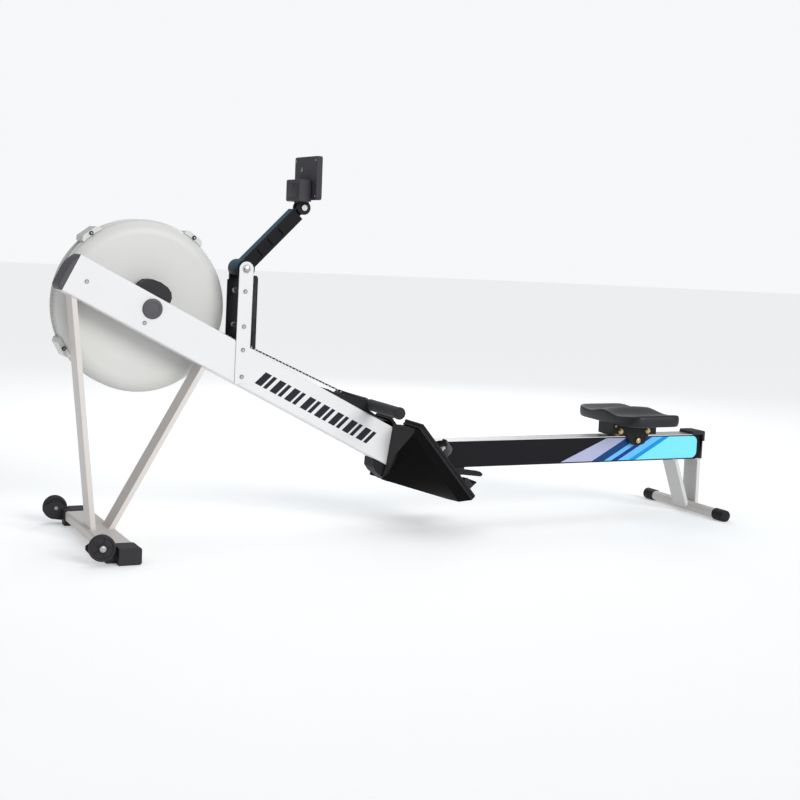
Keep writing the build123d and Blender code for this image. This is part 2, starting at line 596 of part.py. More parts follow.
def foot_shroud():
    """Moulded shell behind the foot plate that narrows down to the beam, open towards the beam."""
    skin = 4.0
    upper, lower = at_board(6, -BOARD_THICK), at_board(BOARD_LONG, -BOARD_THICK)
    inner = [(968, 352), (948, 214), (934, 168), (1180, 92), lower, upper]
    outer = [(990, 352), (984, 338), (1010, 300), (1160, 106), lower, upper]
    y_near, y_wide = -HALF_BEAM, -BOARD_OUT + 2
    near = make_face(Polyline([(x, y_near, z) for x, z in inner], close=True))
    wide = make_face(Polyline([(x, y_wide, z) for x, z in outer], close=True))
    near_in = Pos(0, 1, 0) * offset(near, -skin, kind=Kind.INTERSECTION)
    wide_in = Pos(0, skin, 0) * offset(wide, -skin, kind=Kind.INTERSECTION)
    return loft([near, wide], ruled=True) - loft([near_in, wide_in], ruled=True)


HEEL_D0, HEEL_D1 = 205.0, 312.0
STRAP_DOWN, STRAP_WIDE = 134.0, 28.0


def heel_cup():
    """Sliding heel rest: a tray with a curved wall behind the heel."""
    y0, y1 = -BOARD_OUT + 16, -BOARD_IN - 16
    tray = board_block(HEEL_D0, HEEL_D1 - 20, GAP, 5, y0, y1)
    wall = board_block(HEEL_D1 - 26, HEEL_D1 - 20, GAP, 46, y0, y1)
    cheeks = board_block(HEEL_D0 + 50, HEEL_D1 - 20, GAP, 30, y0, y0 + 5)
    cheeks += board_block(HEEL_D0 + 50, HEEL_D1 - 20, GAP, 30, y1 - 5, y1)
    return tray + wall + cheeks


def foot_strap():
    """Webbing over the instep, through the two slots of the foot plate."""
    y0, y1 = -BOARD_OUT + 9.5, -BOARD_IN - 9.5
    mid = (y0 + y1) / 2
    thick = 3.0
    path_out = [(y0, -8), (y0, 20), (y0 + 22, 46), (mid, 56), (y1 - 22, 46), (y1, 20), (y1, -8)]
    path_in = [(y1 - thick, -8), (y1 - thick, 19), (y1 - 23, 43), (mid, 53), (y0 + 23, 43),
               (y0 + thick, 19), (y0 + thick, -8)]
    points = []
    for y, out in path_out + path_in:
        x, z = at_board(STRAP_DOWN - STRAP_WIDE / 2, out)
        points.append((x, y, z))
    face = make_face(Polyline(points, close=True))
    return extrude(face, amount=STRAP_WIDE, dir=(DX, 0, DZ))


# ---- rail ---------------------------------------------------------------------------------
def monorail():
    outer = block(RAIL_X0, RAIL_X1, -RAIL_WIDE / 2, RAIL_WIDE / 2, RAIL_BOTTOM, RAIL_TOP)
    outer = fillet(outer.edges().filter_by(Axis.X), 4)
    inner = block(RAIL_X0 - 1, RAIL_X1 + 1, WALL - RAIL_WIDE / 2, RAIL_WIDE / 2 - WALL,
                  RAIL_BOTTOM + WALL, RAIL_TOP - WALL)
    return outer - inner


def rail_track():
    """Stainless strip on which the seat rollers run; its edges overhang the rail."""
    return block(RAIL_X0 + 94, RAIL_X1 - END_CAP_LONG, -TRACK_WIDE / 2, TRACK_WIDE / 2, RAIL_TOP, TRACK_TOP)


def rail_end_cap():
    """Cap that closes the rail and stops the seat."""
    top = block(RAIL_X1 - END_CAP_LONG, RAIL_X1 + 10, -41, 41, RAIL_TOP, 300)
    top += block(RAIL_X1, RAIL_X1 + 10, -41, 41, 262, RAIL_TOP)
    top = chamfer(top.edges().filter_by(Axis.Y).sort_by(Axis.Z)[-2:], 4)
    plug = block(RAIL_X1 - 30, RAIL_X1, WALL - RAIL_WIDE / 2, RAIL_WIDE / 2 - WALL, RAIL_BOTTOM + WALL,
                 RAIL_TOP - WALL)
    plate = block(RAIL_X1, RAIL_X1 + 10, -RAIL_WIDE / 2, RAIL_WIDE / 2, RAIL_BOTTOM, RAIL_TOP)
    return top + plug + plate


def rail_front_bracket():
    """Welded cradle between the beam's lower end and the rail's front end."""
    wing = slab([(985, 188), (1150, 188), (1186, 214), (1186, 262), (1160, 284), (1134, 286), (1118, 298),
                 (1052, 304), (1000, 300)], RAIL_WIDE / 2, RAIL_WIDE / 2 + 5)
    floor = block(990, 1150, -RAIL_WIDE / 2 - 5, RAIL_WIDE / 2 + 5, 188, RAIL_BOTTOM)
    cradle = wing + far_side(wing) + floor
    return cradle - beam_envelope()


LATCH_X, LATCH_Z = 1235.0, 178.0


def latch_mount():
    """Ears under the rail that carry the folding latch."""
    ear = slab([(LATCH_X - 45, 195), (LATCH_X + 22, 195), (LATCH_X + 12, LATCH_Z - 10),
                (LATCH_X - 12, LATCH_Z - 10)], 18, 23)
    pin = y_disc(LATCH_X, LATCH_Z, 5, -27, 27)
    return ear + far_side(ear) + pin


def latch_lever():
    """Lever that frees the rail for storage; it swings down on the pin."""
    hub = y_disc(LATCH_X, LATCH_Z, 11, -17.5, 17.5)
    blade = slab([(LATCH_X, LATCH_Z - 9), (LATCH_X + 92, LATCH_Z - 20), (LATCH_X + 98, LATCH_Z - 12),
                  (LATCH_X + 90, LATCH_Z - 4), (LATCH_X, LATCH_Z + 9)], -17.5, 17.5)
    lever = hub + blade
    return lever - y_disc(LATCH_X, LATCH_Z, 5 + RUN_FIT, -30, 30)


# ---- rear stand ---------------------------------------------------------------------------
def rear_leg_front():
    return strut((2188, 18), (2121, 205), 14, LEG_WIDE, [rail_envelope(), rear_foot_envelope()])


def rear_leg_rear():
    return strut((2228, 9), (2226, 210), 14, LEG_WIDE, [rail_envelope(), rear_foot_envelope()])


def rail_envelope():
    return block(RAIL_X0, RAIL_X1, -60, 60, RAIL_BOTTOM, RAIL_TOP)


def rear_foot_envelope():
    return y_disc(REAR_FOOT_X, REAR_FOOT_Z, REAR_TUBE_R, -REAR_FOOT_HALF, REAR_FOOT_HALF)


def rear_foot_tube():
    return y_ring(REAR_FOOT_X, REAR_FOOT_Z, REAR_TUBE_R, REAR_TUBE_R - 2.5, -REAR_FOOT_HALF, REAR_FOOT_HALF)


def rear_foot_caps():
    cap = y_disc(REAR_FOOT_X, REAR_FOOT_Z, REAR_CAP_R, REAR_FOOT_HALF - 50, REAR_FOOT_HALF + 6)
    cap = fillet(cap.edges().group_by(Axis.Y)[-1], 4)
    cap -= y_disc(REAR_FOOT_X, REAR_FOOT_Z, REAR_TUBE_R, 0, REAR_FOOT_HALF)
    cap -= block(REAR_FOOT_X - 30, REAR_FOOT_X + 30, 0, 300, -10, 0)
    return both_sides(cap)


# ---- seat ---------------------------------------------------------------------------------
def seat_pad():
    """Saddle: wide, with waisted ends and a raised middle."""
    half_long = SEAT_LONG / 2
    low = [(-half_long + 10, -SEAT_HALF), (half_long - 10, -SEAT_HALF), (half_long, -SEAT_HALF + 24),
           (half_long - 12, 0), (half_long, SEAT_HALF - 24), (half_long - 10, SEAT_HALF),
           (-half_long + 10, SEAT_HALF), (-half_long, SEAT_HALF - 24), (-half_long - 22, 0),
           (-half_long, -SEAT_HALF + 24)]
    face = make_face(Polyline([(SEAT_X + x, y, SEAT_LOW) for x, y in low], close=True))
    pad = extrude(face, amount=SEAT_HIGH - SEAT_LOW, dir=(0, 0, 1))
    crown = Pos(SEAT_X - 10, 0, SEAT_HIGH) * Solid.make_cone(78, 40, SEAT_CROWN - SEAT_HIGH)
    return pad + crown


def carriage_frame():
    """Folded carriage: a top plate and two side plates with a lobe for the lower rollers."""
    top = block(CARRIAGE_X0, CARRIAGE_X1, -47, 47, 331, SEAT_LOW)
    outline = [(CARRIAGE_X0, 331), (CARRIAGE_X0, 298), (1896, 294), (1914, 262), (1926, 257), (1962, 257),
               (1974, 262), (1990, 294), (CARRIAGE_X1, 294), (CARRIAGE_X1, 331)]
    side = slab(outline, 43, 47)
    nose = block(CARRIAGE_X0 - 4, CARRIAGE_X0, -47, 47, 293, SEAT_LOW)
    frame = top + side + far_side(side) + nose
    for x in ROLLER_XS:
        frame -= y_disc(x, roller_z(), UPPER_AXLE_R, -60, 60)
    return frame - y_disc(LOW_ROLLER_X, low_roller_z(), LOWER_AXLE_R, -60, 60)


def roller_z():
    return TRACK_TOP + GAP + ROLLER_R


def roller_pair(x):
    """Two wide rollers on one axle, running on the track."""
    roller = y_ring(x, roller_z(), ROLLER_R, UPPER_AXLE_R + RUN_FIT, 10, 30)
    return both_sides(roller)


def low_roller_z():
    return RAIL_TOP - GAP - ROLLER_LOW_R


def lower_rollers():
    """Two small rollers that run under the track's overhanging edges."""
    roller = y_ring(LOW_ROLLER_X, low_roller_z(), ROLLER_LOW_R, LOWER_AXLE_R + RUN_FIT, 31.5, 39)
    return both_sides(roller)


def roller_axles():
    """Through axles of the upper rollers and stub axles of the lower ones."""
    axles = [y_disc(x, roller_z(), UPPER_AXLE_R, -50, 50) for x in ROLLER_XS]
    stub = y_disc(LOW_ROLLER_X, low_roller_z(), LOWER_AXLE_R, 31.5, 47)
    stub += y_disc(LOW_ROLLER_X, low_roller_z(), 8, 47, 51)
    return group(axles + both_sides(stub).solids())


# ---- build --------------------------------------------------------------------------------
def build():
    keep("main_beam", main_beam())
    keep("beam_front_cap", beam_front_cap())
    keep("beam_tail_cap", beam_tail_cap())
    keep("frame_bolts", frame_bolts())
    keep("fan_cover_near", fan_cover_near())
    keep("fan_cage_band", fan_cage_band())
    keep("fan_cover_far", fan_cover_far())
    keep("damper_shutter", damper_shutter())
    keep("cage_clamps", cage_clamps())
    keep("flywheel_fan", flywheel_fan())
    keep("flywheel_axle", flywheel_axle())
    keep("axle_bearings", axle_bearings())
    keep("axle_cap", axle_cap())
    keep("sprocket", sprocket())
    keep("hub_cover", hub_cover())
    keep("drive_chain", drive_chain())
    keep("return_cord", return_cord())
    keep("guide_roller", guide_roller())
    keep("guide_axle", guide_axle())
    keep("base_tube", base_tube())
    keep("front_leg", front_leg())
    keep("rear_strut", rear_strut())
    keep("base_caps", both_sides(base_cap()))
    keep("transport_wheel_near", transport_wheel())
    keep("transport_wheel_far", far_side(transport_wheel()))
    keep("mast_plate_near", mast_plate_near())
    keep("mast_channel", mast_channel())
    keep("monitor_arm", monitor_arm())
    keep("tilt_bolt", tilt_bolt())
    keep("monitor_yoke", monitor_yoke())
    keep("monitor_body", monitor_body())
    keep("screen_panel", screen_panel())
    keep("battery_box", battery_box())
    for number, y in enumerate(KEY_YS, start=1):
        keep(f"monitor_key_{number}", monitor_key(y))
    keep("handle_bar", handle_bar())
    keep("handle_grips", handle_grips())
    keep("handle_yoke", handle_yoke())
    keep("handle_holder", handle_holder())
    keep("foot_boards", both_sides(foot_board()))
    keep("foot_shrouds", both_sides(foot_shroud()))
    keep("heel_cup_near", heel_cup())
    keep("heel_cup_far", far_side(heel_cup()))
    keep("foot_straps", both_sides(foot_strap()))
    keep("monorail", monorail())
    keep("rail_track", rail_track())
    keep("rail_end_cap", rail_end_cap())
    keep("rail_front_bracket", rail_front_bracket())
    keep("latch_mount", latch_mount())
    keep("latch_lever", latch_lever())
    keep("rear_legs", group([rear_leg_front(), rear_leg_rear()]))
    keep("rear_foot_tube", rear_foot_tube())
    keep("rear_foot_caps", rear_foot_caps())
    keep("seat_pad", seat_pad())
    keep("carriage_frame", carriage_frame())
    keep("roller_axles", roller_axles())
    keep("seat_rollers_front", roller_pair(ROLLER_XS[0]))
    keep("seat_rollers_rear", roller_pair(ROLLER_XS[1]))
    keep("lower_rollers", lower_rollers())


def export():
    """Write each node to its own file, with X = 0 moved to the middle of the overall length."""
    boxes = [shape.bounding_box() for shape in NODES.values()]
    middle = (min(box.min.X for box in boxes) + max(box.max.X for box in boxes)) / 2
    print(f"datum X of the middle: {middle:.3f}")
    os.makedirs("parts", exist_ok=True)
    for name, shape in NODES.items():
        solids = [solid.moved(Location((-middle, 0, 0))) for solid in shape.solids()]
        export_step(solids[0] if len(solids) == 1 else Compound(solids), f"parts/{name}.step")


build()
export()
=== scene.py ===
import json
from math import cos, exp, pi, radians, sin

import bmesh
import bpy
from mathutils import Matrix, Vector


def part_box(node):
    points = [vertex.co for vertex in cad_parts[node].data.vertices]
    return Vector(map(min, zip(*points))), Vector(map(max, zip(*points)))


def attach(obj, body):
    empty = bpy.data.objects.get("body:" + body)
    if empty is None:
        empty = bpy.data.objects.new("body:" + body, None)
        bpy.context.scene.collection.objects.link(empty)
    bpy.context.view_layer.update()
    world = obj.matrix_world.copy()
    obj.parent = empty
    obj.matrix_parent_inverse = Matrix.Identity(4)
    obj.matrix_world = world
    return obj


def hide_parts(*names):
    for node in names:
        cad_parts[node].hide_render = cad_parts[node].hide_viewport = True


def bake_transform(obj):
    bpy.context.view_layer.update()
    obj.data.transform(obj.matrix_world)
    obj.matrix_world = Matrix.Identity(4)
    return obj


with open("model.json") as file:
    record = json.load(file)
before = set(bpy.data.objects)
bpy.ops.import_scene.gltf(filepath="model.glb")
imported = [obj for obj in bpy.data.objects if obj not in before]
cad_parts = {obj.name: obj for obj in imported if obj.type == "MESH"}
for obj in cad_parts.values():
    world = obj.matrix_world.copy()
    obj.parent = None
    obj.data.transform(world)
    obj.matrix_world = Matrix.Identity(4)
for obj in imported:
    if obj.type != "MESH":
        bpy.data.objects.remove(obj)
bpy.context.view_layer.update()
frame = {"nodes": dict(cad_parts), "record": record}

# Looks of an air-resistance rowing machine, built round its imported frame.  Metres, +Z up.
# +X runs from the fan end to the seat end, and +Y is the side that the fan drum is on.
MM = 0.001


# ---- places taken from the frame --------------------------------------------------------------
def middle(node):
    low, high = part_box(node)
    return (low + high) / 2


def size(node):
    low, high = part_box(node)
    return high - low


SLOPE = radians(27.3)                    # the main beam's fall below the horizontal
ALONG, ABOVE = Vector((cos(SLOPE), 0, -sin(SLOPE))), Vector((sin(SLOPE), 0, cos(SLOPE)))
beam_low, beam_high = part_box("main_beam")
beam_span, beam_rise = beam_high.x - beam_low.x, beam_high.z - beam_low.z
BEAM_DEEP = (beam_rise * cos(SLOPE) - beam_span * sin(SLOPE)) / cos(2 * SLOPE)
BEAM_HALF = beam_high.y
BEAM_START = Vector((beam_low.x + BEAM_DEEP * sin(SLOPE), 0, beam_high.z))

DRUM = middle("fan_cover_near")
DRUM_R = size("fan_cover_near").x / 2
DRUM_NEAR = BEAM_HALF + 4 * MM                                   # near face of the drum
DRUM_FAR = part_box("fan_cover_far")[1].y - 7.5 * MM               # far face of the drum
DATUM_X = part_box("monorail")[0].x - 1046 * MM                    # the drawing datum, on the frame


def at_beam(s, y, t):
    """Point given along the beam, across the machine and above the beam's top face."""
    return BEAM_START + ALONG * s + ABOVE * t + Vector((0, y, 0))


def place(x, y, z):
    """Point given in millimetres from the drawing datum."""
    return Vector((DATUM_X + x * MM, y * MM, z * MM))


# ---- materials --------------------------------------------------------------------------------
def link(tree, source, target):
    tree.links.new(source, target)


def add_node(tree, kind, **settings):
    node = tree.nodes.new(kind)
    for name, value in settings.items():
        setattr(node, name, value)
    return node


def noise(tree, vector, scale, detail=3.0, rough=0.5):
    node = add_node(tree, "ShaderNodeTexNoise")
    node.inputs["Scale"].default_value = scale
    node.inputs["Detail"].default_value = detail
    node.inputs["Roughness"].default_value = rough
    link(tree, vector, node.inputs["Vector"])
    return node.outputs["Fac"]


def ranged(tree, value, low, high, out_low, out_high):
    node = add_node(tree, "ShaderNodeMapRange")
    for name, number in (("From Min", low), ("From Max", high), ("To Min", out_low), ("To Max", out_high)):
        node.inputs[name].default_value = number
    link(tree, value, node.inputs["Value"])
    return node.outputs["Result"]


def mixed(tree, share, first, second):
    """Colour between two colours or colour outputs, by the share."""
    node = add_node(tree, "ShaderNodeMix", data_type="RGBA")
    link(tree, share, node.inputs["Factor"])
    for socket, colour in ((node.inputs[6], first), (node.inputs[7], second)):
        if isinstance(colour, tuple):
            socket.default_value = (*colour, 1)
        else:
            link(tree, colour, socket)
    return node.outputs[2]


def maths(tree, operation, first, second):
    node = add_node(tree, "ShaderNodeMath", operation=operation)
    for socket, value in zip(node.inputs, (first, second)):
        if isinstance(value, (int, float)):
            socket.default_value = value
        else:
            link(tree, value, socket)
    return node.outputs[0]


def coordinates(tree, stretch=(1, 1, 1), turn=(0, 0, 0)):
    """Object coordinates in metres, stretched and turned."""
    source = add_node(tree, "ShaderNodeTexCoord")
    mapping = add_node(tree, "ShaderNodeMapping")
    mapping.inputs["Scale"].default_value = stretch
    mapping.inputs["Rotation"].default_value = turn
    link(tree, source.outputs["Object"], mapping.inputs["Vector"])
    return mapping.outputs["Vector"]


def bumped(tree, shader, height, strength, distance):
    node = add_node(tree, "ShaderNodeBump")
    node.inputs["Strength"].default_value = strength
    node.inputs["Distance"].default_value = distance
    link(tree, height, node.inputs["Height"])
    link(tree, node.outputs["Normal"], shader.inputs["Normal"])


def new_material(name):
    material = bpy.data.materials.new(name)
    material.use_nodes = True
    tree = material.node_tree
    return material, tree, tree.nodes["Principled BSDF"]


def tinted(colour, factor):
    return tuple(min(1.0, channel * factor) for channel in colour)


def surface(name, colour, rough, metal=0.0, mottle=0.05, grain=900, bump=0.12, depth=0.00015,
            stretch=(1, 1, 1), turn=(0, 0, 0), scuffs=0.0, coat=0.0, sheen=0.0, specular=0.5, spread=0.06):
    """Solid finish: cloudy colour, fine grain in the relief and the gloss, and faint scuffs."""
    material, tree, shader = new_material(name)
    grain_space = coordinates(tree, stretch, turn)
    cloud = noise(tree, grain_space, 9, 4)
    base = mixed(tree, cloud, tinted(colour, 1 - mottle), tinted(colour, 1 + mottle))
    fine = noise(tree, grain_space, grain, 2)
    if scuffs:
        scratch = noise(tree, coordinates(tree, (30, 240, 90), (0.3, 0.5, 0.9)), 3.5, 5, 0.75)
        share = ranged(tree, scratch, 0.63, 0.74, 0.0, scuffs)
        pale = tuple(min(1.0, 0.16 + channel) for channel in colour)
        base = mixed(tree, share, base, pale)
    link(tree, base, shader.inputs["Base Color"])
    smudge = noise(tree, grain_space, 34, 4, 0.6)
    gloss = maths(tree, "MULTIPLY_ADD", smudge, spread * 2)
    gloss.node.inputs[2].default_value = rough - spread
    link(tree, gloss, shader.inputs["Roughness"])
    shader.inputs["Metallic"].default_value = metal
    shader.inputs["Coat Weight"].default_value = coat
    shader.inputs["Coat Roughness"].default_value = 0.18
    shader.inputs["Sheen Weight"].default_value = sheen
    shader.inputs["Specular IOR Level"].default_value = specular
    bumped(tree, shader, fine, bump, depth)
    return material


def powder_coat(name, colour, rough=0.42, **extra):
    """Baked powder paint with its orange-peel relief."""
    return surface(name, colour, rough, grain=420, bump=0.16, depth=0.0002, mottle=0.025, **extra)


def brushed(name, colour, rough, stretch):
    """Bare metal with drawn or brushed lines along the axis that the stretch leaves small."""
    return surface(name, colour, rough, metal=1.0, grain=260, bump=0.2, depth=0.0001, mottle=0.10,
                   stretch=stretch, spread=0.10)


def woven(name, colour, pitch, direction, across):
    """Webbing: ribs of thread in two directions."""
    material, tree, shader = new_material(name)
    source = add_node(tree, "ShaderNodeTexCoord")
    waves = []
    for axis in (direction, across):
        dot = add_node(tree, "ShaderNodeVectorMath", operation="DOT_PRODUCT")
        link(tree, source.outputs["Object"], dot.inputs[0])
        dot.inputs[1].default_value = Vector(axis).normalized() * (2 * pi / pitch)
        waves.append(maths(tree, "SINE", dot.outputs["Value"], 0))
    weave = ranged(tree, maths(tree, "MULTIPLY", *waves), -1, 1, 0, 1)
    fuzz = noise(tree, source.outputs["Object"], 1600, 3)
    height = maths(tree, "ADD", weave, maths(tree, "MULTIPLY", fuzz, 0.5))
    base = mixed(tree, weave, tinted(colour, 0.45), tinted(colour, 1.7))
    link(tree, base, shader.inputs["Base Color"])
    link(tree, ranged(tree, fuzz, 0, 1, 0.72, 0.95), shader.inputs["Roughness"])
    shader.inputs["Sheen Weight"].default_value = 0.35
    bumped(tree, shader, height, 0.7, 0.0006)
    return material


def lcd(name):
    """Unlit liquid-crystal window: green-grey, with faint dots and a gloss coat."""
    material, tree, shader = new_material(name)
    space = coordinates(tree)
    cells = add_node(tree, "ShaderNodeTexVoronoi")
    cells.inputs["Scale"].default_value = 900
    cells.inputs["Randomness"].default_value = 0
    link(tree, space, cells.inputs["Vector"])
    base = mixed(tree, cells.outputs["Distance"], (0.20, 0.23, 0.20), (0.25, 0.28, 0.245))
    link(tree, base, shader.inputs["Base Color"])
    link(tree, ranged(tree, noise(tree, space, 20), 0, 1, 0.08, 0.2), shader.inputs["Roughness"])
    shader.inputs["Coat Weight"].default_value = 0.6
    shader.inputs["Coat Roughness"].default_value = 0.05
    return material


def facing(tree, direction, low, high):
    """Share from 0 to 1 by how far the piece's own surface faces a direction."""
    source = add_node(tree, "ShaderNodeTexCoord")
    dot = add_node(tree, "ShaderNodeVectorMath", operation="DOT_PRODUCT")
    link(tree, source.outputs["Normal"], dot.inputs[0])
    dot.inputs[1].default_value = Vector(direction).normalized()
    return ranged(tree, dot.outputs["Value"], low, high, 0, 1)


def repaint(material, share_of, colour):
    """Blends another colour over a finish's own, by a share worked out in its tree."""
    tree = material.node_tree
    socket = tree.nodes["Principled BSDF"].inputs["Base Color"]
    before = socket.links[0].from_socket
    link(tree, mixed(tree, share_of(tree), before, colour), socket)
    return material


def painted_light_moulding(name, colour, upper, direction, rough, low=0.55, high=0.95, specular=0.3):
    """Moulding whose faces towards one direction are painted paler: painted light and painted reflection on
    the side turned to the lamps.
    """
    material = surface(name, colour, rough, grain=1200, specular=specular, scuffs=0.06)
    return repaint(material, lambda tree: facing(tree, direction, low, high), upper)


def mast_paint(name, colour, edge):
    """Black channel whose faces turned towards -X, its narrow return flange among them, are coloured grey.
    """
    material = surface(name, colour, 0.45, grain=420, bump=0.16, mottle=0.05, specular=0.15)
    return repaint(material, lambda tree: facing(tree, (-1, 0, 0), 0.75, 0.95), edge)


FINISH = {
    "white_paint": powder_coat("white_powder", (0.70, 0.70, 0.71), 0.42, specular=0.3),
    "leg_paint": powder_coat("warm_powder", (0.62, 0.585, 0.56), 0.42, scuffs=0.12, specular=0.3),
    "rear_leg_paint": powder_coat("grey_powder", (0.60, 0.595, 0.59), 0.42, scuffs=0.12, specular=0.3),
    "drum_paint": powder_coat("drum_powder", (0.60, 0.603, 0.585), 0.40, specular=0.3),
    "drum_band": powder_coat("mesh_powder", (0.52, 0.515, 0.49), 0.45, specular=0.3),
    "mast_paint": mast_paint("black_powder", (0.006, 0.006, 0.010), (0.20, 0.20, 0.21)),
    "bracket_steel": powder_coat("bracket_powder", (0.012, 0.012, 0.014), 0.45, scuffs=0.2, specular=0.2),
    "carriage_paint": powder_coat("carriage_powder", (0.008, 0.008, 0.009), scuffs=0.15, specular=0.2),
    "flywheel_steel": surface("flywheel_paint", (0.10, 0.10, 0.105), 0.45, mottle=0.1),
    "nose_plastic": surface("nose_grain", (0.082, 0.078, 0.088), 0.55, scuffs=0.08, specular=0.2),
    "black_plastic": surface("black_grain", (0.009, 0.009, 0.011), 0.55, scuffs=0.15, specular=0.2),
    "dark_plastic": surface("charcoal_grain", (0.026, 0.024, 0.028), 0.58, scuffs=0.12, specular=0.2),
    "axle_cap_plastic": surface("cap_satin", (0.085, 0.085, 0.095), 0.48, grain=1400, specular=0.2),
    "monitor_plastic": surface("monitor_grain", (0.044, 0.041, 0.049), 0.55, grain=1500, scuffs=0.06,
                               specular=0.2),
    # The arm's upper faces are tinted blue: a painted reflection of a blue light from above.
    "arm_plastic": painted_light_moulding("arm_grain_painted_reflection", (0.004, 0.004, 0.006), (0.020, 0.075, 0.125), (-1, 0, 1), 0.42,
                          specular=0.12),
    # The shrouds' front faces are painted paler: painted light where the lamps fall on them.
    "shroud_plastic": painted_light_moulding("shroud_grain_painted_light", (0.0022, 0.0018, 0.0021), (0.045, 0.042, 0.044),
                             (-1, 0, 0.15), 0.6, low=0.90, high=0.975, specular=0.06),
    "cup_plastic": surface("cup_satin", (0.016, 0.016, 0.018), 0.42, grain=1300, scuffs=0.15,
                           specular=0.25),
    "bolt_steel": surface("zinc_plate", (0.38, 0.38, 0.39), 0.35, metal=1.0, mottle=0.12, grain=500),
    "brassy_steel": surface("yellow_zinc", (0.55, 0.43, 0.22), 0.34, metal=1.0, mottle=0.2, grain=500),
    "bar_steel": surface("polished_bar", (0.62, 0.62, 0.64), 0.16, metal=1.0, mottle=0.03, grain=700,
                         bump=0.03),
    "chain_steel": surface("nickel_plate", (0.42, 0.415, 0.41), 0.32, metal=1.0, mottle=0.15, grain=800),
    "track_steel": brushed("brushed_track", (0.66, 0.66, 0.67), 0.30, (0.4, 30, 30)),
    "rail_aluminium": surface("anodised_rail", (0.005, 0.0047, 0.0075), 0.45, metal=0.1, mottle=0.08,
                              grain=90, stretch=(0.25, 14, 14), specular=0.15),
    "wheel_rubber": surface("tyre_rubber", (0.026, 0.024, 0.027), 0.66, grain=700, bump=0.2, scuffs=0.2,
                            specular=0.2),
    "grip_foam": surface("grip_skin", (0.016, 0.016, 0.019), 0.72, grain=600, bump=0.45, depth=0.0004,
                         sheen=0.15, specular=0.25),
    "key_rubber": surface("key_skin", (0.25, 0.25, 0.26), 0.55, grain=900),
    "seat_foam": surface("seat_skin", (0.011, 0.0115, 0.015), 0.46, grain=520, bump=0.35, depth=0.0003,
                         sheen=0.05, coat=0.04, specular=0.3),
    "roller_nylon": surface("roller_nylon", (0.56, 0.55, 0.52), 0.38, grain=900, mottle=0.08),
    "elastic_cord": woven("cord_braid", (0.05, 0.05, 0.05), 0.003, (1, 0, 1), (1, 1, -1)),
    "strap_webbing": woven("webbing", (0.022, 0.022, 0.024), 0.0022, (0, 1, 0), (1, 0, -1)),
    "screen_glass": lcd("lcd_window"),
}


# ---- softened edges on the frame's own nodes ----------------------------------------------------
def soften(node, width):
    """Welds the node's loose faces, merges its flat ones and rounds its hard edges."""
    piece = frame["nodes"][node]
    weld = piece.modifiers.new("weld", "WELD")
    weld.merge_threshold = 0.00002
    flat = piece.modifiers.new("flat", "DECIMATE")
    flat.decimate_type = "DISSOLVE"
    flat.angle_limit = radians(0.5)
    bevel = piece.modifiers.new("round", "BEVEL")
    bevel.width = width
    bevel.segments = 2
    bevel.limit_method = "ANGLE"
    bevel.angle_limit = radians(38)
    bevel.harden_normals = True


ROUNDED = {
    4.0: ("beam_tail_cap", "foot_shrouds"),
    2.5: ("battery_box", "monitor_arm", "latch_lever", "base_caps"),
    1.5: ("cage_clamps", "monitor_body", "monitor_yoke", "handle_yoke", "handle_holder", "rail_end_cap",
          "mast_channel", "heel_cup_near", "heel_cup_far"),
    1.0: ("front_leg", "rear_strut", "rear_legs", "foot_boards", "rail_front_bracket", "latch_mount",
          "carriage_frame", "damper_shutter", "mast_plate_near", "monitor_key_1", "monitor_key_2",
          "monitor_key_3", "seat_rollers_front", "seat_rollers_rear", "lower_rollers", "tilt_bolt"),
}
for width, nodes in ROUNDED.items():
    for node in nodes:
        soften(node, width * MM)

SLOT_OF = {row["node"]: row["material_slot"] for row in frame["record"]["subparts"]}
for node, piece in frame["nodes"].items():
    piece.data.materials.clear()
    piece.data.materials.append(FINISH[SLOT_OF[node]])


# ---- mesh helpers -------------------------------------------------------------------------------
X, Y, Z = Vector((1, 0, 0)), Vector((0, 1, 0)), Vector((0, 0, 1))


def add_piece(name, bm, slot, body, replaced=(), sharp=35, finish=None):
    """Turns a finished mesh into a piece on a body, with the finish of its slot."""
    bmesh.ops.recalc_face_normals(bm, faces=bm.faces)
    mesh = bpy.data.meshes.new(name)
    bm.to_mesh(mesh)
    bm.free()
    mesh.shade_smooth()
    mesh.set_sharp_from_angle(angle=radians(sharp))
    mesh.materials.append(finish or FINISH[slot])
    piece = bpy.data.objects.new(name, mesh)
    bpy.context.scene.collection.objects.link(piece)
    if body:
        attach(piece, body)
    if replaced:
        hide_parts(*replaced)
    return piece


def join_rings(bm, first, second):
    """Faces between two rings of vertices; a ring of one vertex is a point."""
    for i in range(max(len(first), len(second))):
        a, b = first[i % len(first)], first[(i + 1) % len(first)]
        c, d = second[(i + 1) % len(second)], second[i % len(second)]
        corners = ([a] if a is b else [a, b]) + ([c] if c is d else [c, d])
        if len(corners) > 2:
            bm.faces.new(corners)


def lathe(bm, origin, axis, profile, sides=48, closed=False):
    """Surface of revolution from (radius, distance along the axis) points; radius 0 closes an end."""
    axis = Vector(axis).normalized()
    side = axis.orthogonal().normalized()
    up = axis.cross(side)
    angles = [2 * pi * i / sides for i in range(sides)]
    rings = []
    for radius, along in profile:
        centre = Vector(origin) + axis * along
        if radius == 0:
            rings.append([bm.verts.new(centre)])
        else:
            rings.append([bm.verts.new(centre + (side * cos(a) + up * sin(a)) * radius) for a in angles])
    for first, second in zip(rings, rings[1:] + rings[:1] if closed else rings[1:]):
        join_rings(bm, first, second)


def round_section(radius, sides=8):
    return [(radius * cos(2 * pi * i / sides), radius * sin(2 * pi * i / sides)) for i in range(sides)]


def strap_section(wide, thick):
    """Flat band with rounded edges."""
    w, t = wide / 2, thick / 2
    return [(-w, 0), (-w + t, t), (w - t, t), (w, 0), (w - t, -t), (-w + t, -t)]


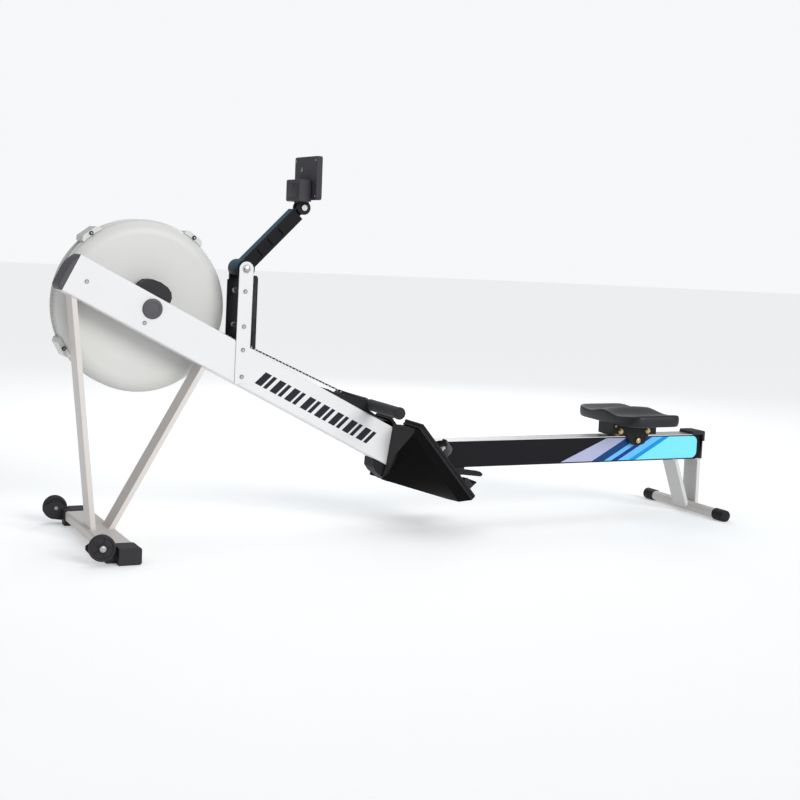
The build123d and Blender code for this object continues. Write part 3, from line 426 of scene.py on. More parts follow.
def sweep(bm, path, section, normal, closed=False, swell=None):
    """Carries a section of (along the normal, out of the path) points along a flat path."""
    rings = []
    for i, point in enumerate(path):
        before = path[i - 1] if i or closed else point
        after = path[(i + 1) % len(path)] if i + 1 < len(path) or closed else point
        out = (after - before).normalized().cross(normal).normalized()
        scale = swell(i) if swell else 1
        rings.append([bm.verts.new(point + (normal * u + out * v) * scale) for u, v in section])
    for first, second in zip(rings, rings[1:] + rings[:1] if closed else rings[1:]):
        join_rings(bm, first, second)
    if not closed:
        bm.faces.new(rings[0])
        bm.faces.new(rings[-1])


def brick(bm, centre, half, axes=(X, Y, Z), edge=0.0):
    """Block between half lengths along three axes, with rounded edges."""
    made = bmesh.ops.create_cube(bm, size=2)["verts"]
    turned = Matrix(axes).transposed() @ Matrix.Diagonal(half)
    for vertex in made:
        vertex.co = Vector(centre) + turned @ vertex.co
    if edge:
        edges = {near for vertex in made for near in vertex.link_edges}
        bmesh.ops.bevel(bm, geom=list(edges), offset=edge, segments=2, affect="EDGES", profile=0.5)


def plate(bm, outline, thickness):
    """Flat outline given a thickness vector."""
    low = [bm.verts.new(point) for point in outline]
    high = [bm.verts.new(point + thickness) for point in outline]
    join_rings(bm, low, high)
    bm.faces.new(low[::-1])
    bm.faces.new(high)


def quarter(radius, deep, steps=8):
    """Rounded shoulder: (out, in) from (0, 0) to (radius, deep)."""
    turns = [pi / 2 * i / steps for i in range(steps + 1)]
    return [(radius * sin(turn), deep * (1 - cos(turn))) for turn in turns]


# ---- fan drum -----------------------------------------------------------------------------------
AXLE = Vector((DRUM.x, 0, DRUM.z))
SKIRT, SHOULDER, SHOULDER_DEEP, SHEET = 44 * MM, 44 * MM, 32 * MM, 2 * MM


def drum_angle(angle, radius, y):
    return AXLE + Vector((cos(radians(angle)) * radius, y, sin(radians(angle)) * radius))


def bead(radius, thick, steps=6):
    """Half-round roll round the rim, as (radius, in) points."""
    turns = [pi * i / steps for i in range(steps + 1)]
    return [(radius + thick * sin(turn), thick * (1 - cos(turn))) for turn in turns]


def cover_profile(face, way, inner):
    """Pressed cover: flat face, rounded shoulder, straight skirt and rolled bead, then back inside."""
    start = DRUM_R - SHOULDER
    outside = [(inner, face), (inner + 3 * MM, face)]
    outside += [(start + out, face + way * deep) for out, deep in quarter(SHOULDER, SHOULDER_DEEP, 14)]
    outside += [(r, face + way * (SKIRT - 7 * MM + deep)) for r, deep in bead(DRUM_R, 3.2 * MM)]
    inside = [(DRUM_R - SHEET, face + way * SKIRT)]
    inside += [(start + out * (1 - SHEET / SHOULDER), face + way * (deep + SHEET))
               for out, deep in reversed(quarter(SHOULDER, SHOULDER_DEEP - SHEET, 14))]
    return outside + inside + [(inner, face + way * SHEET)]


def make_near_cover():
    """Smooth cover, with a collar round the axle between it and the beam."""
    bm = bmesh.new()
    bore, start, end = 22 * MM, BEAM_HALF + 0.2 * MM, DRUM_NEAR + 0.2 * MM
    lathe(bm, AXLE, Y, cover_profile(DRUM_NEAR, 1, bore), 160, closed=True)
    collar = [(bore, start), (39 * MM, start), (40 * MM, DRUM_NEAR - 1 * MM), (43 * MM, end), (bore, end)]
    lathe(bm, AXLE, Y, collar, 64, closed=True)
    add_piece("drum_cover_near", bm, "drum_paint", "frame", ["fan_cover_near"])


def make_mesh_band():
    """Perforated band: flat hoops and cross ribs between the two covers."""
    bm = bmesh.new()
    tucked = 8 * MM
    low, high, outer = DRUM_NEAR + SKIRT - tucked, DRUM_FAR - SKIRT + tucked, DRUM_R - 2.2 * MM
    hoops, ribs = 9, 150
    for i in range(hoops + 1):
        y = low + (high - low) * i / hoops
        half = 2.2 * MM if 0 < i < hoops else 5 * MM
        hoop = [(outer - 1.6 * MM, y - half), (outer, y - half), (outer + 0.5 * MM, y),
                (outer, y + half), (outer - 1.6 * MM, y + half)]
        lathe(bm, AXLE, Y, hoop, 150, closed=True)
    deep = 0.9 * MM
    for i in range(ribs):
        angle = 360 * i / ribs
        out = drum_angle(angle, 1, 0) - AXLE
        brick(bm, drum_angle(angle, outer - deep, (low + high) / 2),
              (deep, (high - low) / 2, 2.1 * MM), (out, Y, out.cross(Y)))
    add_piece("drum_mesh_band", bm, "drum_band", "frame", ["fan_cage_band"])


def make_far_cover():
    """Far cover with a wire grille over the air intake, and the clips that hold the damper ring."""
    bm = bmesh.new()
    intake, wire = 120 * MM, 1.5 * MM
    lathe(bm, AXLE, Y, cover_profile(DRUM_FAR, -1, intake), 160, closed=True)
    for i in range(8):
        radius = 40 * MM + i * 11.2 * MM
        path = [drum_angle(angle, radius, DRUM_FAR - 1.5 * MM) for angle in range(0, 360, 4)]
        sweep(bm, path, round_section(wire, 6), Y, closed=True)
    for i in range(12):
        ends = (26 * MM, intake + 4 * MM)
        sweep(bm, [drum_angle(i * 30, radius, DRUM_FAR + 0.6 * MM) for radius in ends],
              round_section(wire, 6), Y)
    hub = ((0, -2), (28, -2), (30, 0), (27, 2.4), (20, 3.4), (17, 2.4), (0, 2.4))
    lathe(bm, AXLE, Y, [(radius * MM, DRUM_FAR + out * MM) for radius, out in hub], 48)
    for angle in (60, 120, 180, 240, 300):
        out = drum_angle(angle, 1, 0) - AXLE
        axes = (out, Y, out.cross(Y))
        foot, lip = (drum_angle(angle, 139 * MM, DRUM_FAR + 3.2 * MM),
                     drum_angle(angle, 133 * MM, DRUM_FAR + 6.2 * MM))
        brick(bm, foot, (5 * MM, 4.2 * MM, 6 * MM), axes, 1 * MM)
        brick(bm, lip, (6 * MM, 1.2 * MM, 6 * MM), axes, 0.5 * MM)
    add_piece("drum_cover_far", bm, "drum_paint", "frame", ["fan_cover_far"])


def make_axle_cap():
    """Turned cap with a shallow ring groove and a domed middle."""
    bm = bmesh.new()
    profile = ((0, 6.2), (9, 6.0), (17, 5.2), (20, 5.2), (21.5, 6.6), (26, 6.6), (29.5, 5.4), (31, 3),
               (31, 0), (0, 0))
    lathe(bm, AXLE, Y, [(radius * MM, -BEAM_HALF - out * MM) for radius, out in profile], 64)
    add_piece("axle_end_cap", bm, "axle_cap_plastic", "frame", ["axle_cap"])


# ---- screws, bolts and nuts ---------------------------------------------------------------------
def socket_screw(bm, seat, axis, radius, high):
    """Button head with a socket."""
    profile = [(0, high * 0.35), (radius * 0.46, high * 0.4), (radius * 0.5, high), (radius * 0.62, high),
               (radius * 0.86, high * 0.72), (radius, high * 0.25), (radius, 0), (0, 0)]
    lathe(bm, seat, axis, profile, 24)


def hex_head(bm, seat, axis, radius, high):
    """Hexagon head on a washer."""
    thin = high * 0.25
    wide = radius * 1.28
    washer = [(0, thin), (radius * 1.2, thin), (wide, thin * 0.5), (wide, 0), (0, 0)]
    lathe(bm, seat, axis, washer, 28)
    top = [(0, high), (radius * 0.84, high), (radius, high * 0.88), (radius, thin), (0, thin)]
    lathe(bm, seat, axis, top, 6)


def make_fasteners():
    """Screws in the beam, the mast, the rail's end and the wheels, and those of the drum's clamps."""
    face, plate_face, far_face = -BEAM_HALF / MM, -BEAM_HALF / MM - 4, BEAM_HALF / MM
    channel_face = far_face + 4
    bm = bmesh.new()
    for x, z in ((-52, 798), (125, 677)):
        socket_screw(bm, place(x, face - 0.2, z), -Y, 6.5 * MM, 3.4 * MM)
    for x, z in ((437, 512), (439, 596), (440, 669), (441.5, 778)):
        socket_screw(bm, place(x, plate_face, z), -Y, 7 * MM, 4.2 * MM)
    for x, z in ((440, 669), (441.5, 778)):
        hex_head(bm, place(x, channel_face, z), Y, 8 * MM, 6 * MM)
        socket_screw(bm, place(x, far_face, z), -Y, 10 * MM, 5 * MM)
    hex_head(bm, place(444, plate_face, 848), -Y, 10.5 * MM, 6 * MM)
    hex_head(bm, place(444, channel_face, 848), Y, 10.5 * MM, 6 * MM)
    for x in (1096, 1164):
        for side in (-1, 1):
            hex_head(bm, place(x, side * 35, 262), Y * side, 8.5 * MM, 6.6 * MM)
    for side, node in ((-1, "transport_wheel_near"), (1, "transport_wheel_far")):
        hub = middle(node)
        reach = size(node).y / 2 + 0.3 * MM
        socket_screw(bm, hub + Y * side * reach, Y * side, 10 * MM, 4.6 * MM)
    add_piece("bolt_heads", bm, "bolt_steel", "frame", sharp=30)
    bm = bmesh.new()
    for angle in (53, 126, 209, 316):
        seat = drum_angle(angle, DRUM_R + 7 * MM, DRUM_NEAR + 24 * MM)
        socket_screw(bm, seat, -Y, 6.5 * MM, 7.5 * MM)
        hex_head(bm, seat + Y * (DRUM_FAR - DRUM_NEAR - 48 * MM), Y, 6 * MM, 5 * MM)
    add_piece("clamp_screws", bm, "black_plastic", "frame", sharp=30)


# ---- decals -------------------------------------------------------------------------------------
STICKER = 0.25 * MM


def flat_finish(name, colour, rough=0.34):
    """Printed vinyl: even colour, faint mottle and little shine."""
    return surface(name, colour, rough, mottle=0.035, grain=1500, bump=0.04, coat=0.04, specular=0.12)


def make_beam_bars():
    """Two groups of plain slanted bars along both sides of the beam."""
    ink = flat_finish("beam_bar_vinyl", (0.016, 0.017, 0.024))
    low, high, lean, pitch = -90 * MM, -43 * MM, 17 * MM, 56 * MM
    starts = [667 * MM + pitch * i for i in range(3)] + [840 * MM + pitch * i for i in range(5)]
    bm = bmesh.new()
    for side in (-1, 1):
        y = side * BEAM_HALF
        for start in starts:
            for left, right in ((0, 24 * MM), (31 * MM, 44 * MM)):
                corners = ((start + left, low), (start + right, low),
                           (start + right + lean, high), (start + left + lean, high))
                plate(bm, [at_beam(s, y, t) for s, t in corners], Y * side * STICKER)
    add_piece("beam_bars", bm, "nose_plastic", "frame", finish=ink)


def make_rail_stripes():
    """Slanted bands of blue on both sides of the rail, ending in a pale panel with round corners."""
    low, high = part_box("monorail")
    z0, z1, half = low.z + 5 * MM, high.z - 5 * MM, high.y
    lean = 1.78 * (z1 - z0)
    bands = (("lavender", (0.40, 0.42, 0.60), 130), ("deep_blue", (0.007, 0.052, 0.18), 52),
             ("light_blue", (0.13, 0.47, 0.84), 30), ("navy", (0.010, 0.040, 0.25), 28),
             ("sky", (0.13, 0.49, 0.90), 46), ("bright_blue", (0.008, 0.27, 0.64), 30))
    corner, start = 22 * MM, 1634
    panel_end = place(2219, 0, 0).x
    for name, colour, wide in bands:
        bm = bmesh.new()
        spread = 44 * MM if name == "lavender" else 0
        x0, x1 = place(start, 0, 0).x, place(start + wide, 0, 0).x
        start += wide
        for side in (-1, 1):
            outline = [(x0, z0), (x1, z0), (x1 + lean, z1), (x0 + lean + spread, z1)]
            plate(bm, [Vector((x, side * half, z)) for x, z in outline], Y * side * STICKER)
        vinyl = flat_finish(f"vinyl_{name}", colour)
        add_piece(f"rail_band_{name}", bm, "rail_aluminium", "frame", finish=vinyl)
    x0 = place(start, 0, 0).x
    turns = [pi / 2 * i / 6 for i in range(7)]
    lower = [(panel_end - corner * (1 - sin(t)), z0 + corner * (1 - cos(t))) for t in turns]
    upper = [(panel_end - corner * (1 - cos(t)), z1 - corner * (1 - sin(t))) for t in turns]
    outline = [(x0, z0)] + lower + upper + [(x0 + lean, z1)]
    bm = bmesh.new()
    for side in (-1, 1):
        plate(bm, [Vector((x, side * half, z)) for x, z in outline], Y * side * STICKER)
    vinyl = flat_finish("vinyl_cyan", (0.19, 0.72, 0.83))
    add_piece("rail_panel", bm, "rail_aluminium", "frame", finish=vinyl)


# ---- seat ---------------------------------------------------------------------------------------
def make_seat():
    """Moulded saddle: a raised middle, a hollow each side of it, ends that curl up and a tail notch."""
    low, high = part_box("seat_pad")
    half_x, half_y = (high.x - low.x) / 2 - 6 * MM, high.y + 4 * MM
    centre = Vector(((low.x + high.x) / 2, 0, low.z))
    rim = 40 * MM
    bm = bmesh.new()

    def outline(turn):
        """Plan shape: nearly oblong with round ends, waisted across the middle of its length."""
        c, s = cos(turn), sin(turn)
        reach = (abs(c) ** 9 + abs(s) ** 9) ** (-1 / 9)
        x, y = half_x * c * reach, half_y * s * reach
        tail, nose = 0.12 * exp(-(y / (0.30 * half_y)) ** 2), 0.14 * (y / half_y) ** 2
        return x * (1 - tail if c > 0 else 1 - nose), y

    def top(x, y):
        u, v = x / half_x, y / half_y
        hump = 0.015 * exp(-(v / 0.24) ** 2) * (1 - 0.45 * u * u)
        hollow = -0.008 * exp(-((abs(v) - 0.50) / 0.22) ** 2) * (1 - 0.5 * u * u)
        curl = 0.006 * abs(v) ** 6
        return rim + hump + hollow + curl

    sides = 120
    plan = [outline(2 * pi * i / sides) for i in range(sides)]
    flat, lip = 2 * MM, 8 * MM
    loops = [[bm.verts.new(centre + Vector((0, 0, flat)))]]
    for share, z in ((0.90, flat), (0.965, flat), (0.982, 5 * MM), (0.985, lip)):
        loops.append([bm.verts.new(centre + Vector((x * share, y * share, z))) for x, y in plan])
    for share, climb in ((1.0, 0.2), (1.0, 0.5), (0.998, 0.80), (0.985, 0.95)):
        loops.append([bm.verts.new(centre + Vector((x * share, y * share,
                                                    lip + (top(x * share, y * share) - 9.5 * MM) * climb)))
                      for x, y in plan])
    for share in (0.955, 0.90, 0.82, 0.72, 0.60, 0.47, 0.34, 0.21, 0.10):
        loops.append([bm.verts.new(centre + Vector((x * share, y * share, top(x * share, y * share))))
                      for x, y in plan])
    loops.append([bm.verts.new(centre + Vector((0, 0, top(0, 0))))])
    for first, second in zip(loops, loops[1:]):
        join_rings(bm, first, second)
    seat = add_piece("seat_cushion", bm, "seat_foam", "", ["seat_pad"], sharp=60)
    smooth = seat.modifiers.new("smooth", "SUBSURF")
    smooth.levels = smooth.render_levels = 1
    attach(seat, "seat")


def make_seat_base():
    """Thin moulded tray under the pad."""
    low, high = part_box("seat_pad")
    centre = Vector(((low.x + high.x) / 2, 0, low.z))
    bm = bmesh.new()
    brick(bm, centre + Z * 1.2 * MM, (0.088, 0.150, 1.1 * MM), edge=0.8 * MM)
    add_piece("seat_base_tray", bm, "black_plastic", "seat")


def make_carriage_bolts():
    """Hexagon heads on the roller axles, and a screw up into the seat's tray on each side."""
    bm = bmesh.new()
    rollers = ("seat_rollers_front", "seat_rollers_rear", "lower_rollers")
    front, rear, lower = (middle(node) for node in rollers)
    side_face = size("carriage_frame").y / 2
    for side in (-1, 1):
        for centre in (front, rear):
            hex_head(bm, Vector((centre.x, side * side_face, centre.z)), Y * side, 8 * MM, 6 * MM)
        hex_head(bm, Vector((lower.x, side * (side_face + 4 * MM), lower.z)), Y * side, 7.5 * MM, 4 * MM)
        tray_screw = Vector((front.x - 22 * MM, side * side_face, front.z + 20 * MM))
        socket_screw(bm, tray_screw, Y * side, 5 * MM, 3 * MM)
    add_piece("carriage_bolts", bm, "brassy_steel", "seat", sharp=30)


# ---- handle, grips and chain --------------------------------------------------------------------
def make_grips():
    """Moulded grips: shallow rings along them, a collar at the middle end and a domed end cap."""
    low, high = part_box("handle_grips")
    centre = (low + high) / 2
    inner, seam, end, skin = 22 * MM, high.y - 12 * MM, high.y, 18.1 * MM
    first, count = inner + 10 * MM, 30
    pitch = (seam - inner - 16 * MM) / count
    profile = [(10.2 * MM, inner), (18.2 * MM, inner), (19 * MM, inner + 1.5 * MM),
               (19 * MM, inner + 7 * MM), (17.9 * MM, inner + 8.5 * MM)]
    for i in range(count):
        y = first + pitch * i
        profile += [(skin, y), (18.8 * MM, y + pitch * 0.25), (18.8 * MM, y + pitch * 0.65),
                    (skin, y + pitch * 0.9)]
    profile += [(skin, seam - 2 * MM), (skin, seam), (20 * MM, seam + 0.5 * MM),
                (20 * MM, end - 5 * MM), (18.5 * MM, end - 1.5 * MM), (15 * MM, end), (0, end)]
    bm = bmesh.new()
    for side in (-1, 1):
        lathe(bm, centre, Y * side, profile, 40)
    add_piece("grip_sleeves", bm, "grip_foam", "handle", ["handle_grips"], sharp=40)


def chain_plate(bm, near, far, y, thick, radius):
    """Side plate of a link: two round ends joined by a waist."""
    ahead = (far - near).normalized()
    across = ahead.cross(Y)
    outline = []
    for centre, way in ((near, -1), (far, 1)):
        for i in range(5):
            turn = -pi / 2 + pi * i / 4
            outline.append(centre + (ahead * cos(turn) + across * sin(turn)) * radius * way)
    waist = (near + far) / 2
    outline.insert(5, waist + across * radius * 0.62)
    outline.append(waist - across * radius * 0.62)
    plate(bm, [point + Y * y for point in outline], Y * thick)


CHAIN_RISE, CHAIN_MID = radians(2.75), 30 * MM
PITCH = 12.7 * MM


def chain_path():
    """Joints of the chain: along the inside of the beam, round the sprocket and out to the handle."""
    from_start = AXLE - BEAM_START
    axle_s, axle_t = from_start.dot(ALONG), from_start.dot(ABOVE)
    back = [at_beam(axle_s + 250 * MM - PITCH * i, 0, axle_t - CHAIN_MID) for i in range(20)]
    turns = [-pi / 2 - (pi - CHAIN_RISE) * i / 8 for i in range(8)]
    wrap = [AXLE + (ALONG * cos(turn) + ABOVE * sin(turn)) * CHAIN_MID for turn in turns]
    first = AXLE + (ABOVE * cos(CHAIN_RISE) - ALONG * sin(CHAIN_RISE)) * CHAIN_MID
    ahead = ALONG * cos(CHAIN_RISE) + ABOVE * sin(CHAIN_RISE)
    run = [first + ahead * PITCH * i for i in range(56)]
    return back + wrap + run, ahead


def make_chain():
    """Bush roller chain, link by link, from the cord block to the handle's tongue."""
    joints, ahead = chain_path()
    roller = [(0, -1.5 * MM), (2.8 * MM, -1.5 * MM), (2.8 * MM, 1.5 * MM), (0, 1.5 * MM)]
    pin = [(0, -3.95 * MM), (1.3 * MM, -3.95 * MM), (1.3 * MM, 3.95 * MM), (0, 3.95 * MM)]
    bm = bmesh.new()
    for i, (near, far) in enumerate(zip(joints, joints[1:])):
        inside = 1.6 * MM if i % 2 else 2.7 * MM
        for side in (-1, 1):
            chain_plate(bm, near, far, side * inside, side * 1.0 * MM, 3.3 * MM)
        lathe(bm, near, Y, roller, 10)
        lathe(bm, near, Y, pin, 8)
    chain = add_piece("roller_chain", bm, "chain_steel", "", sharp=30)
    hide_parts("drive_chain")
    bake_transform(chain)


# ---- footrests ----------------------------------------------------------------------------------
BOARD_TOP, BOARD_LOW = place(1010, 0, 360), place(1214, 0, 116)
BOARD_DOWN = (BOARD_LOW - BOARD_TOP).normalized()
BOARD_OUT = BOARD_DOWN.cross(Y)
BOARD_INNER, BOARD_OUTER = 50 * MM, 175 * MM


def at_board(down, out, y):
    return BOARD_TOP + BOARD_DOWN * down + BOARD_OUT * out + Y * y


def make_straps():
    """Webbing over the instep, with a cam buckle and a loose tail."""
    webbing, buckles = bmesh.new(), bmesh.new()
    y0, y1, down = BOARD_INNER + 11 * MM, BOARD_OUTER - 11 * MM, 134 * MM
    mid, half = (y0 + y1) / 2, (y1 - y0) / 2
    through, root, shoulder, rise = -7 * MM, 6 * MM, 16 * MM, 37 * MM

    def arch(side, step, above=0.0):
        """Point of the band's arch, in 18 steps from its inner end to its outer one."""
        turn = pi * step / 18
        out = shoulder + rise * sin(turn) ** 0.75 + above
        return at_board(down, out, side * (mid - half * cos(turn)))

    for side in (-1, 1):
        path = [at_board(down, through, side * y0), at_board(down, root, side * y0)]
        path += [arch(side, i) for i in range(19)]
        path += [at_board(down, root, side * y1), at_board(down, through, side * y1)]
        sweep(webbing, path, strap_section(27 * MM, 2.2 * MM), BOARD_DOWN)
        tail = [arch(side, i, 2.4 * MM) for i in range(9, 15)]
        sweep(webbing, tail, strap_section(25 * MM, 1.8 * MM), BOARD_DOWN)
        crest = at_board(down, shoulder + rise + 2 * MM, side * mid)
        axes = (Y * side, BOARD_DOWN, BOARD_OUT)
        for across in (-1, 1):
            bar = crest + BOARD_DOWN * across * 15.5 * MM
            cheek = crest + Y * side * across * 11.5 * MM
            brick(buckles, bar, (13 * MM, 1.6 * MM, 2.6 * MM), axes, 0.8 * MM)
            brick(buckles, cheek, (1.6 * MM, 15 * MM, 2.4 * MM), axes, 0.8 * MM)
        cam = crest + BOARD_OUT * 1.4 * MM
        brick(buckles, cam, (5 * MM, 12.5 * MM, 1.5 * MM), axes, 0.8 * MM)
    add_piece("strap_webbing", webbing, "strap_webbing", "frame", ["foot_straps"], sharp=50)
    add_piece("strap_buckles", buckles, "black_plastic", "frame")


def make_board_details():
    """Tread ribs on the foot boards, and the rivets that hold the shrouds."""
    ribs, rivets = bmesh.new(), bmesh.new()
    axes = (BOARD_DOWN, Y, BOARD_OUT)
    mid, half = (BOARD_INNER + BOARD_OUTER) / 2, (BOARD_OUTER - BOARD_INNER) / 2
    for side in (-1, 1):
        for i in range(9):
            rib = at_board(14 * MM + 11 * MM * i, 0.6 * MM, side * (mid - 2 * MM))
            brick(ribs, rib, (2.2 * MM, half - 16 * MM, 1.3 * MM), axes, 0.6 * MM)
        for down in (12 * MM, 306 * MM):
            for y in (BOARD_INNER + 8 * MM, BOARD_OUTER - 11 * MM):
                socket_screw(rivets, at_board(down, 0, side * y), BOARD_OUT, 4.5 * MM, 2.4 * MM)
    add_piece("foot_board_ribs", ribs, "black_plastic", "frame")
    add_piece("foot_board_screws", rivets, "bolt_steel", "frame", sharp=30)


# ---- wheels, welds and the monitor --------------------------------------------------------------
def make_wheels():
    """Moulded transport wheels: a crowned tread, and a ring with five webs in the outer face."""
    for end, side in (("near", -1), ("far", 1)):
        node, body = f"transport_wheel_{end}", f"wheel_{end}"
        centre, wide, radius = middle(node), size(node).y / 2, size(node).z / 2
        bore, shoulder = 6.1 * MM, radius - 1.2 * MM
        crown, flat = radius - 0.2 * MM, radius - 4 * MM
        profile = [(bore, -wide), (14 * MM, -wide), (16 * MM, -wide + 2 * MM), (29 * MM, -wide + 2 * MM),
                   (31 * MM, -wide), (flat, -wide), (shoulder, -wide + 1.5 * MM),
                   (crown, -wide + 5 * MM), (radius, 0), (crown, wide - 5 * MM),
                   (shoulder, wide - 1.5 * MM), (flat, wide), (32.5 * MM, wide),
                   (31 * MM, wide - 1.2 * MM), (29.5 * MM, wide - 4 * MM), (18 * MM, wide - 4 * MM),
                   (15 * MM, wide - 2.6 * MM), (13 * MM, wide), (bore, wide)]
        bm = bmesh.new()
        lathe(bm, centre, Y * side, profile, 72, closed=True)
        for i in range(5):
            turn = 2 * pi * i / 5
            out = X * cos(turn) + Z * sin(turn)
            web = centre + out * 23 * MM + Y * side * (wide - 2.6 * MM)
            brick(bm, web, (7.5 * MM, 1.6 * MM, 2.2 * MM), (out, Y, out.cross(Y)), 0.6 * MM)
        add_piece(f"{body}_tyre", bm, "wheel_rubber", body, [node], sharp=40)


def leg_loop(low, high, half_thick, half_wide, point, normal):
    """Corners where a leg's four edges meet a plane."""
    ahead = (high - low).normalized()
    across = ahead.cross(Y)
    corners = []
    for a, b in ((-1, -1), (1, -1), (1, 1), (-1, 1)):
        start = low + across * a * half_thick + Y * b * half_wide
        corners.append(start + ahead * ((point - start).dot(normal) / ahead.dot(normal)))
    return corners


def weld(bm, corners, normal, radius=2.6 * MM, step=2.4 * MM):
    """Rippled fillet weld round a closed loop of corners."""
    path = []
    for near, far in zip(corners, corners[1:] + corners[:1]):
        count = max(2, round((far - near).length / step))
        path += [near.lerp(far, i / count) for i in range(count)]
    sweep(bm, path, round_section(radius, 6), normal, closed=True, swell=lambda i: 1 + 0.16 * (i % 2))


def make_welds():
    """Welds where the stands' legs meet the cross tube, the beam and the rail."""
    front, rear = bmesh.new(), bmesh.new()
    base_top, rail_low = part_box("base_tube")[1].z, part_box("monorail")[0].z
    under_beam = at_beam(0, 0, -BEAM_DEEP)
    front_legs = ((place(-18, 0, 40), place(-92, 0, 800)), (place(34, 0, 40), place(334, 0, 570)))
    rear_legs = ((place(2188, 0, 18), place(2121, 0, 205)), (place(2228, 0, 9), place(2226, 0, 210)))
    for low, high in front_legs:
        for point, normal in ((Z * base_top, Z), (under_beam, ABOVE)):
            weld(front, leg_loop(low, high, 8 * MM, 40 * MM, point, normal), normal)
    for low, high in rear_legs:
        weld(rear, leg_loop(low, high, 7 * MM, 29 * MM, Z * rail_low, Z), Z)
    add_piece("front_stand_welds", front, "leg_paint", "frame", sharp=60)
    add_piece("rear_stand_welds", rear, "rear_leg_paint", "frame", sharp=60)


def make_monitor_details():
    """Case seam, screws, battery door and a plain bar display."""
    low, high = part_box("monitor_body")
    back, face, half = low.x, high.x, high.y
    screws, seams, marks = bmesh.new(), bmesh.new(), bmesh.new()
    for y in (-1, 1):
        for z in (low.z + 12 * MM, high.z - 12 * MM):
            socket_screw(screws, Vector((back, y * (half - 12 * MM), z)), -X, 4 * MM, 1.8 * MM)
    socket_screw(screws, Vector((back, half - 62 * MM, high.z - 40 * MM)), -X, 7 * MM, 2.6 * MM)
    add_piece("monitor_screws", screws, "bolt_steel", "monitor", sharp=30)
    seam_x, round_off = (back + face) / 2, 9 * MM
    path = []
    for y_way, z_way, start in ((1, 1, 0), (-1, 1, pi / 2), (-1, -1, pi), (1, -1, 3 * pi / 2)):
        centre_y = y_way * (half - round_off)
        centre_z = (high.z - round_off) if z_way > 0 else (low.z + round_off)
        for i in range(7):
            turn = start + pi / 2 * i / 6
            path.append(Vector((seam_x, centre_y + cos(turn) * round_off,
                                centre_z + sin(turn) * round_off)))
    sweep(seams, path, strap_section(1.8 * MM, 1.0 * MM), X, closed=True)
    box_low, box_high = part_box("battery_box")
    door = Vector((box_low.x - 0.2 * MM, 0, (box_low.z + box_high.z) / 2))
    brick(seams, door, (1.0 * MM, 44 * MM, 22 * MM), edge=0.8 * MM)
    for i in range(4):
        thumb_rib = door + Vector((-1 * MM, 0, (10 + 3.2 * i) * MM))
        brick(seams, thumb_rib, (0.9 * MM, 12 * MM, 0.8 * MM), edge=0.4 * MM)
    add_piece("monitor_seam_and_door", seams, "monitor_plastic", "monitor")
    glass_low, glass_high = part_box("screen_panel")
    glass = glass_high.x + 0.1 * MM
    for i in range(14):
        tall = (9 + 5 * sin(i * 0.9) + i * 0.5) * MM
        bar = Vector((glass, -55 * MM + 8.4 * MM * i, glass_low.z + 8 * MM + tall / 2))
        brick(marks, bar, (0.15 * MM, 2.6 * MM, tall / 2))
    for row in range(2):
        for i in range(3):
            block = Vector((glass, (-42 + 42 * i) * MM, glass_high.z - (12 + 14 * row) * MM))
            brick(marks, block, (0.15 * MM, 15 * MM, 3.6 * MM))
    ink = flat_finish("lcd_ink", (0.03, 0.035, 0.03))
    add_piece("display_marks", marks, "screen_glass", "monitor", finish=ink)


def make_shroud_edges():
    """Raised bead along the top and outer edges of each foot board."""
    bm = bmesh.new()
    out = 5 * MM
    for side in (-1, 1):
        y0, y1 = side * (BOARD_INNER + 1 * MM), side * (BOARD_OUTER - 1 * MM)
        top_edge = [at_board(1 * MM, out, y0), at_board(1 * MM, out, y1)]
        outer_edge = [at_board(4 * MM, out, y1), at_board(314 * MM, out, y1)]
        sweep(bm, top_edge, round_section(5.6 * MM, 12), BOARD_DOWN)
        sweep(bm, outer_edge, round_section(5.4 * MM, 12), Y)
    add_piece("foot_board_edges", bm, "black_plastic", "frame", sharp=50)


for make in (make_near_cover, make_mesh_band, make_far_cover, make_axle_cap, make_fasteners, make_beam_bars,
             make_rail_stripes, make_seat, make_seat_base, make_carriage_bolts, make_grips, make_chain,
             make_straps, make_board_details, make_shroud_edges, make_wheels, make_welds,
             make_monitor_details):
    make()


# ---- floor, lights and camera -------------------------------------------------------------------
def make_floor():
    """Wide sheet of white paper that glows a little, so that it stays white far away."""
    bm = bmesh.new()
    bmesh.ops.create_circle(bm, cap_ends=True, segments=96, radius=30)
    mesh = bpy.data.meshes.new("floor")
    bm.to_mesh(mesh)
    bm.free()
    paper = surface("floor_paper", (0.96, 0.96, 0.96), 0.85, mottle=0.01, bump=0.02, specular=0.1)
    shader = paper.node_tree.nodes["Principled BSDF"]
    shader.inputs["Emission Color"].default_value = (0.97, 0.985, 1.0, 1)
    shader.inputs["Emission Strength"].default_value = 0.22
    mesh.materials.append(paper)
    floor = bpy.data.objects.new("floor", mesh)
    bpy.context.scene.collection.objects.link(floor)


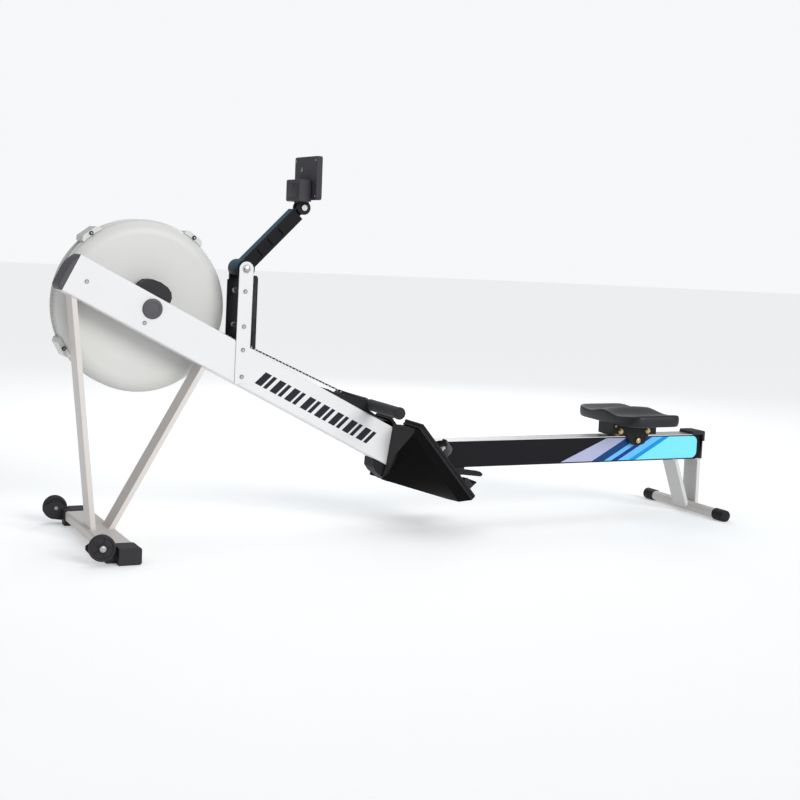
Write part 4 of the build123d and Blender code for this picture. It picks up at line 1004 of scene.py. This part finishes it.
def make_light(name, spot, aim, wide, power, colour):
    """Round soft light, aimed at a point."""
    lamp = bpy.data.lights.new(name, "AREA")
    lamp.shape = "DISK"
    lamp.size = wide
    lamp.energy = power
    lamp.color = colour
    light = bpy.data.objects.new(name, lamp)
    light.location = spot
    light.rotation_euler = (Vector(aim) - Vector(spot)).to_track_quat("-Z", "Y").to_euler()
    bpy.context.scene.collection.objects.link(light)


def make_sun(source, strength):
    """Wide soft key light, as even on the far floor as on the near one."""
    lamp = bpy.data.lights.new("key", "SUN")
    lamp.energy = strength
    lamp.angle = radians(30)
    lamp.color = (1.0, 0.993, 0.98)
    light = bpy.data.objects.new("key", lamp)
    light.rotation_euler = (-Vector(source)).to_track_quat("-Z", "Y").to_euler()
    bpy.context.scene.collection.objects.link(light)


def make_world():
    """White backdrop that lights the object less brightly than it looks."""
    world = bpy.data.worlds.new("studio")
    bpy.context.scene.world = world
    world.use_nodes = True
    tree = world.node_tree
    sky = tree.nodes["Background"]
    sky.inputs["Color"].default_value = (0.97, 0.985, 1.0, 1)
    seen = tree.nodes.new("ShaderNodeLightPath")
    link(tree, ranged(tree, seen.outputs["Is Camera Ray"], 0, 1, 0.46, 0.95), sky.inputs["Strength"])


def make_camera():
    """Stands near the fan end on the near side, a little above the beam's middle."""
    yaw, pitch, roll = radians(25.6), radians(-6.5), radians(2.3)
    ahead = Vector((sin(yaw) * cos(pitch), cos(yaw) * cos(pitch), sin(pitch)))
    right = Vector((cos(yaw), -sin(yaw), 0))
    upward = right.cross(ahead)
    side = right * cos(roll) + upward * sin(roll)
    top = -right * sin(roll) + upward * cos(roll)
    camera = bpy.data.objects.new("camera", bpy.data.cameras.new("camera"))
    camera.data.sensor_width = 36
    camera.data.lens = 64.8
    camera.data.clip_end = 100
    turned = Matrix((side, top, -ahead)).transposed().to_4x4()
    stand = Vector((DRUM.x - 1.1974, -4.304, 0.9693))
    camera.matrix_world = Matrix.Translation(stand) @ turned
    bpy.context.scene.collection.objects.link(camera)
    bpy.context.scene.camera = camera


make_floor()
make_world()
make_sun((0.35, -1.0, 0.42), 1.9)
make_light("top", (-0.4, 0.8, 3.6), (-0.2, 0, 0.4), 2.6, 24, (0.86, 0.93, 1.0))
make_light("far", (1.8, 3.4, 2.4), (0, 0, 0.5), 2.0, 25, (1, 1, 1))
make_camera()
bpy.context.scene.view_settings.view_transform = "Standard"
